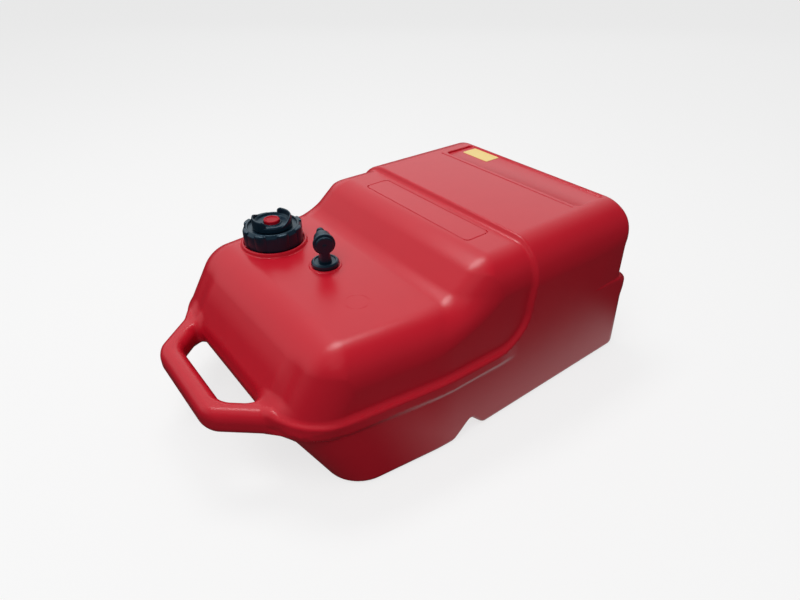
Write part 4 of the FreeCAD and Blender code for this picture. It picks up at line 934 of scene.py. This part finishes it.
class VentOperator(bpy.types.Operator):
    """Build the vent knob with its two finger wings, the push button and the button's spring"""

    bl_idname = "fuel_tank.vent"
    bl_label = "Vent"

    def execute(self, context):
        sizes = context.scene.tank_vent_sizes
        disc, button = sizes.knob / MM, sizes.button / MM
        hub, well, stem = 11.5, 7.45, 3.6
        knob = turned("knob_disc", [
            (stem, 7, 0), (hub, 7, 0.4), (hub, 8.1, 0), (9.5, 8.1, 0), (9.5, 9.95, 0), (hub, 9.95, 0),
            (hub, 14.92, 0), (9.69, 14.92, 0), (9.69, 17.08, 0), (hub, 17.08, 0), (hub, 22.2, 0.3),
            (disc - 1.5, 22.2, 0.8), (disc, 23.7, 0.9), (disc, 28.6, 0.8), (disc - 1.6, 30.4, 0.9),
            (disc - 3.2, 30.4, 0.9), (disc - 5.4, 27.2, 2.2), (button + 2.2, 26.9, 0.8),
            (button + 1.9, 28.2, 0.4), (button + 0.6, 28.2, 0.3), (button + 0.35, 27.6, 0),
            (button + 0.35, 23.7, 0), (well, 23.7, 0), (well, 11, 0), (stem, 11, 0),
        ], 128)
        wing = stacked("wing", [self.rising_wall(sizes, inset, height) for inset, height in (
            (0, 26.0), (0, 32.4), (0.1, 33.8), (0.3, 35.0), (0.65, 35.9), (1.0, 36.4),
        )])
        knob = joined("vent_knob_winged", [knob, repeated(wing, "around_axis", "cap_black", Count=2)])
        carried(knob, Matrix.Translation(FILLER) @ Matrix.Rotation(WING_TURN, 4, "Z"))
        dress(knob, "vent_knob", "cap_black", "vent_knob")
        red = turned("push_button", [
            (0, 1.6, 0), (2.4, 1.6, 0.2), (3.4, 2.2, 0.1), (3.4, 2.75, 0), (3, 2.75, 0), (3, 25.8, 0),
            (button, 25.8, 0.3), (button, 31.3, 0.9), (button - 1.2, 31.9, 0.5), (button - 2.4, 31.7, 0.6),
            (button - 3.2, 30.8, 0.8), (0, 30.9, 0),
        ], place=FILLER)
        dress(red, "vent_button", "button_red", "vent_button")
        self.spring(sizes.travel)
        return {"FINISHED"}

    @staticmethod
    def spring(travel, wire=0.45 * MM, turns=6.0):
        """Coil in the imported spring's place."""
        low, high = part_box("vent_spring")
        rise = high.z - low.z
        coil = made_by(
            "vent_coil", "thread_ridge", "spring_steel",
            Radius=(high.x - low.x) / 2 - wire, Pitch=(rise - 2 * wire) / turns, Turns=turns, Ridge=wire,
        )
        carried(coil, Matrix.Translation((FILLER.x, FILLER.y, low.z + wire)))
        dress(coil, "vent_knob", "spring_steel", "vent_spring")
        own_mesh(coil)

    @staticmethod
    def rising_wall(sizes, inset, height, base=26):
        """One level of a wing along the disc's edge that rises and thickens to a rounded end."""
        outer = sizes.knob / MM - inset
        half = sizes.wing_run / sizes.knob / 2
        face, back = [], []
        for step in range(29):
            share = step / 28
            angle = (half - inset / outer) * (2 * share - 1)
            wall = sizes.wing_wall / MM * (0.6 + 0.4 * share)
            round_off = (max(share - 0.93, 0) / 0.07) ** 2
            level = base + (height - base) * (0.36 + 0.64 * float(ramp(share, 0.0, 0.42)) - 0.16 * round_off)
            trim = wall * 0.3 * round_off
            face.append(polar(outer - trim, angle, level))
            back.append(polar(outer - wall + 2 * inset + trim, angle, level))
        return face + back[::-1]


class PickupOperator(bpy.types.Operator):
    """Build the pickup's flanged base, its swivel elbow and the barbed hose tail"""

    bl_idname = "fuel_tank.pickup"
    bl_label = "Fuel pickup"

    def execute(self, context):
        sizes = context.scene.tank_pickup_sizes
        flange, head = sizes.flange / MM, sizes.head / MM
        socket, clip, spigot, bore = 7.05, 8.6, 7, 3.3
        base = turned("flanged_base", [
            (4.55, -17, 0.3), (10, -17, 0.6), (10, 1.6, 0), (flange, 1.6, 0.3), (flange + 0.3, 5.4, 0.8),
            (flange - 1.5, 7.2, 0.7), (flange - 3.2, 7.2, 0.4), (flange - 3.9, 6, 0.4), (socket, 6, 0.3),
            (socket, 4.4, 0), (clip, 4.4, 0), (clip, 3.0, 0), (socket, 3.0, 0), (socket, -4.5, 0),
            (bore, -4.5, 0), (bore, -8, 0), (4.55, -8, 0),
        ], place=PICKUP)
        dress(base, "tank", "fitting_black", "pickup_base")
        pillar = stacked("pillar", [
            box_ring(-front, back, -wide, wide, min(wide, front) - 0.6, 0, height)
            for height, front, back, wide in (
                (6.2, 8.6, 8.6, 7.3), (6.5, 8.9, 8.9, 7.6), (8.0, 9.0, 8.9, 7.6), (9.4, 8.8, 8.5, 6.9),
                (12, 9.0, 8.2, 6.2), (18, 9.5, 8.2, 5.9), (27, 10.0, 8.2, 5.9), (30.0, 10.0, 8.0, 5.8),
                (31.4, 9.7, 7.6, 5.3), (32.4, 9.0, 7.0, 4.4), (32.8, 8.0, 6.0, 3.4),
            )
        ])
        foot = turned("spigot", [
            (bore, -4.2, 0), (spigot, -4.2, 0.3), (spigot, -2.08, 0), (5.19, -2.08, 0), (5.19, 0.08, 0),
            (spigot, 0.08, 0), (spigot, 3, 0), (6, 3, 0), (6, 4.4, 0), (spigot, 4.4, 0), (spigot, 7.5, 0),
            (bore, 7.5, 0),
        ], 64)
        barrel = turned("barrel", [
            (0, -9.4, 0), (head - 3.2, -9.4, 0.7), (head - 2.2, -8.4, 0.6), (head - 2.2, -5.9, 0.2),
            (head - 0.4, -5.6, 0.4), (head + 0.3, -4.8, 0.5), (head + 0.3, -1.8, 0.5),
            (head - 0.7, -1.0, 0.4), (head - 1.6, 4.0, 2), (10.0, 11.6, 1.0), (8.8, 13, 0.5),
            (6.05, 13, 0.2), (6.05, 3.5, 0), (0, 3.5, 0),
        ])
        stand = Matrix.Translation(PICKUP) @ Matrix.Rotation(PICKUP_TURN, 4, "Z")
        level = Matrix.Translation((0, 0, HEAD_HEIGHT)) @ Matrix.Rotation(math.radians(90), 4, "Y")
        elbow = joined("swivel_elbow", [pillar, foot, carried(barrel, level)])
        dress(carried(elbow, stand), "elbow", "fitting_black", "pickup_elbow")
        hose = joined("barbed_tail", self.tail_parts(sizes))
        dress(carried(hose, stand @ level), "elbow", "fitting_black", "hose_tail")
        return {"FINISHED"}

    @staticmethod
    def tail_parts(sizes, shoulder=19.5, bore=3.1):
        """Stem of the hose tail and its row of barbs, along the vertical axis."""
        tail, barb, run = sizes.tail / MM, sizes.barb / MM, sizes.barb_length / MM
        end = shoulder + run * sizes.barbs
        stem = turned("tail_stem", [
            (bore, 3.8, 0), (6, 3.8, 0.3), (6, 14, 0), (8.3, 14, 0.4), (8.1, 16.4, 0.5), (6.6, 18.4, 0.8),
            (tail, 18.6, 0.4), (tail, end - 0.4, 0), (tail - 0.4, end, 0.2), (bore, end, 0.2),
        ], 64)
        crest = turned("barb", [
            (tail - 0.4, 0, 0), (barb, 0, 0.25), (tail + 0.05, run - 0.3, 0.3), (tail - 0.4, run - 0.3, 0),
        ], 64)
        barbs = repeated(crest, "along_axis", "fitting_black", Count=sizes.barbs, Step=sizes.barb_length)
        return [stem, carried(barbs, Matrix.Translation((0, 0, shoulder * MM)))]


class LabelOperator(bpy.types.Operator):
    """Build the bare label plate on the rear strip"""

    bl_idname = "fuel_tank.label"
    bl_label = "Label"

    def execute(self, context):
        low, high = (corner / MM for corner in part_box("label_plate"))
        plate = stacked("bare_label", [
            box_ring(low.x, high.x, low.y, high.y, 2.2, grow, height)
            for grow, height in ((0, low.z), (0, high.z - 0.15), (-0.15, high.z))
        ])
        dress(plate, "tank", "label_yellow", "label_plate")
        return {"FINISHED"}


class StrainerOperator(bpy.types.Operator):
    """Weave the wire sleeve inside the strainer's cage"""

    bl_idname = "fuel_tank.strainer"
    bl_label = "Strainer"

    def execute(self, context):
        low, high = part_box("strainer_mesh")
        wire = 0.19 * MM
        sleeve = made_by(
            "wire_sleeve", "woven_sleeve", "mesh_steel", Radius=(high.x - low.x) / 2 - 2 * wire,
            Height=high.z - low.z - 2 * wire, Wires=40, Hoops=26, Wire=wire,
        )
        carried(sleeve, Matrix.Translation(((low.x + high.x) / 2, (low.y + high.y) / 2, low.z + wire)))
        dress(sleeve, "tank", "mesh_steel", "strainer_mesh")
        return {"FINISHED"}


class StageOperator(bpy.types.Operator):
    """Set the pale floor, the soft studio light and the camera"""

    bl_idname = "fuel_tank.stage"
    bl_label = "Stage"

    FLOOR_REACH = 9.0
    FOCAL_LENGTH, SENSOR = 26.055, 36
    CAMERA_PLACE, CAMERA_TURN = (-0.3689, -0.5027, 0.5072), (55.91, 0, -37.86)
    LAMPS = {  # place, target, size, power and shape
        "overhead": ((0.05, 0.60, 1.7), (-0.03, 0, 0.1), (1.05, 0.42), 9, "ELLIPSE"),
        "fill": ((-0.75, -0.5, 1.9), (-0.03, 0, 0.1), (1.4, 1.4), 15.5, "DISK"),
        "behind": ((1.55, 1.75, 1.05), (0.05, 0.0, 0.18), (3.2, 1.2), 3.6, "RECTANGLE"),
    }

    def execute(self, context):
        scene, reach = context.scene, self.FLOOR_REACH
        corners = [(x * reach, y * reach, -0.0004) for x, y in ((-1, -1), (1, -1), (1, 1), (-1, 1))]
        floor = piece_from("floor", corners, [[0, 1, 2, 3]], turn_out=False)
        floor.data.materials.append(self.floor_finish())
        scene.world = self.sky()
        for name in self.LAMPS:
            self.lamp(scene, name)
        camera = bpy.data.objects.new("camera", bpy.data.cameras.new("camera"))
        scene.collection.objects.link(camera)
        camera.data.lens, camera.data.sensor_width = self.FOCAL_LENGTH, self.SENSOR
        camera.data.clip_start = 0.01
        camera.location = self.CAMERA_PLACE
        camera.rotation_euler = [math.radians(angle) for angle in self.CAMERA_TURN]
        scene.camera = camera
        scene.view_settings.view_transform = "Standard"
        return {"FINISHED"}

    def lamp(self, scene, name):
        """Area lamp turned to its target. The fill isn't mirrored in the glossy surfaces."""
        place, target, size, power, shape = self.LAMPS[name]
        light = bpy.data.lights.new(name, "AREA")
        light.shape = shape
        light.size, light.size_y = size
        light.energy = power
        lamp = bpy.data.objects.new(name, light)
        lamp.location = place
        lamp.rotation_euler = (Vector(target) - Vector(place)).to_track_quat("-Z", "Y").to_euler()
        lamp.visible_glossy = name != "fill"
        scene.collection.objects.link(lamp)

    @staticmethod
    def by_ray(tree, diffuse, mirrored, shown):
        """One shader for diffuse rays, one for glossy rays and one for camera and transmission rays."""
        rays = add_node(tree, "ShaderNodeLightPath").outputs
        direct = maths(tree, "MAXIMUM", rays["Is Camera Ray"], rays["Is Transmission Ray"])
        unseen = add_node(tree, "ShaderNodeMixShader", {0: rays["Is Glossy Ray"], 1: diffuse, 2: mirrored})
        return add_node(tree, "ShaderNodeMixShader", {0: direct, 1: unseen, 2: shown})

    def sky(self):
        """Soft light all around, mirrored as a bright band above and behind the tank."""
        world = bpy.data.worlds.new("studio")
        tree = emptied(world)
        ray = add_node(tree, "ShaderNodeTexCoord").outputs["Generated"]
        split = add_node(tree, "ShaderNodeSeparateXYZ", {"Vector": ray}).outputs
        above = add_node(tree, "ShaderNodeMapRange", {
            "Value": split["Z"], "From Min": 0.02, "From Max": 0.36,
        })
        behind = add_node(tree, "ShaderNodeMapRange", {
            "Value": split["Y"], "From Min": -0.15, "From Max": 0.45, "To Min": 0.04, "To Max": 0.9,
        })
        light, mirrored, white = (
            add_node(tree, "ShaderNodeBackground", {"Color": WHITE, "Strength": strength})
            for strength in (0.28, maths(tree, "MULTIPLY", above, behind), 1.0)
        )
        add_node(tree, "ShaderNodeOutputWorld", {"Surface": self.by_ray(tree, light, mirrored, white)})
        return world

    def floor_finish(self):
        """Pale floor whose mirror image fades with the distance from the tank's body: a glow that only glossy
        rays see, strongest next to the tank, which paints a pale reflection on the tank's lower walls.
        """
        material = bpy.data.materials.new("floor")
        tree = emptied(material)
        matt, bright = (
            add_node(tree, "ShaderNodeBsdfDiffuse", {"Color": (grey, grey, grey, 1)}) for grey in (0.23, 0.9)
        )
        place = add_node(tree, "ShaderNodeTexCoord").outputs["Object"]
        split = add_node(tree, "ShaderNodeSeparateXYZ", {"Vector": place}).outputs
        away = []
        for axis, middle, edge in (("X", 0.12, 0.13), ("Y", 0, 0.17)):
            side = maths(tree, "ABSOLUTE", maths(tree, "SUBTRACT", split[axis], middle))
            away.append(maths(tree, "SUBTRACT", side, edge))
        # Painted reflection: glossy rays see the floor glow brightly next to the tank and faintly further
        # out.
        painted_reflection_glow = add_node(tree, "ShaderNodeMapRange", {
            "Value": maths(tree, "MAXIMUM", *away), "From Min": 0.0, "From Max": 0.12,
            "To Min": 0.8, "To Max": 0.03,
        }, interpolation_type="SMOOTHSTEP")
        mirrored, white = (
            add_node(tree, "ShaderNodeEmission", {"Color": WHITE, "Strength": strength})
            for strength in (painted_reflection_glow, 1.0)
        )
        shown = add_node(tree, "ShaderNodeMixShader", {0: 0.74, 1: bright, 2: white})
        add_node(tree, "ShaderNodeOutputMaterial", {"Surface": self.by_ray(tree, matt, mirrored, shown)})
        return material


class FuelTankPanel(bpy.types.Panel):
    """Lists the tank's sizes, colours and builders"""

    bl_idname = "VIEW3D_PT_fuel_tank"
    bl_label = "Fuel Tank"
    bl_space_type = "VIEW_3D"
    bl_region_type = "UI"
    bl_category = "Fuel Tank"

    def draw(self, context):
        for name in GROUPS:
            group = getattr(context.scene, name)
            box = self.layout.box()
            for field in group.__annotations__:
                box.prop(group, field)
        for operator in OPERATORS:
            self.layout.operator(operator.bl_idname)


GROUPS = {
    "tank_shell_sizes": ShellSizes, "tank_cap_sizes": CapSizes, "tank_vent_sizes": VentSizes,
    "tank_pickup_sizes": PickupSizes, "tank_colours": TankColours,
}
OPERATORS = [
    FinishesOperator, ShellOperator, NeckOperator, CapOperator, VentOperator, PickupOperator, LabelOperator,
    StrainerOperator, StageOperator,
]


def register():
    for kind in (*GROUPS.values(), *OPERATORS, FuelTankPanel):
        bpy.utils.register_class(kind)
    for name, kind in GROUPS.items():
        setattr(bpy.types.Scene, name, PointerProperty(type=kind))


def unregister():
    for name in GROUPS:
        delattr(bpy.types.Scene, name)
    for kind in (FuelTankPanel, *reversed(OPERATORS), *reversed(GROUPS.values())):
        bpy.utils.unregister_class(kind)


def main():
    """Build the tank with every operator."""
    register()
    for operator in OPERATORS:
        group, name = operator.bl_idname.split(".")
        getattr(getattr(bpy.ops, group), name)()


if __name__ == "__main__":
    main()
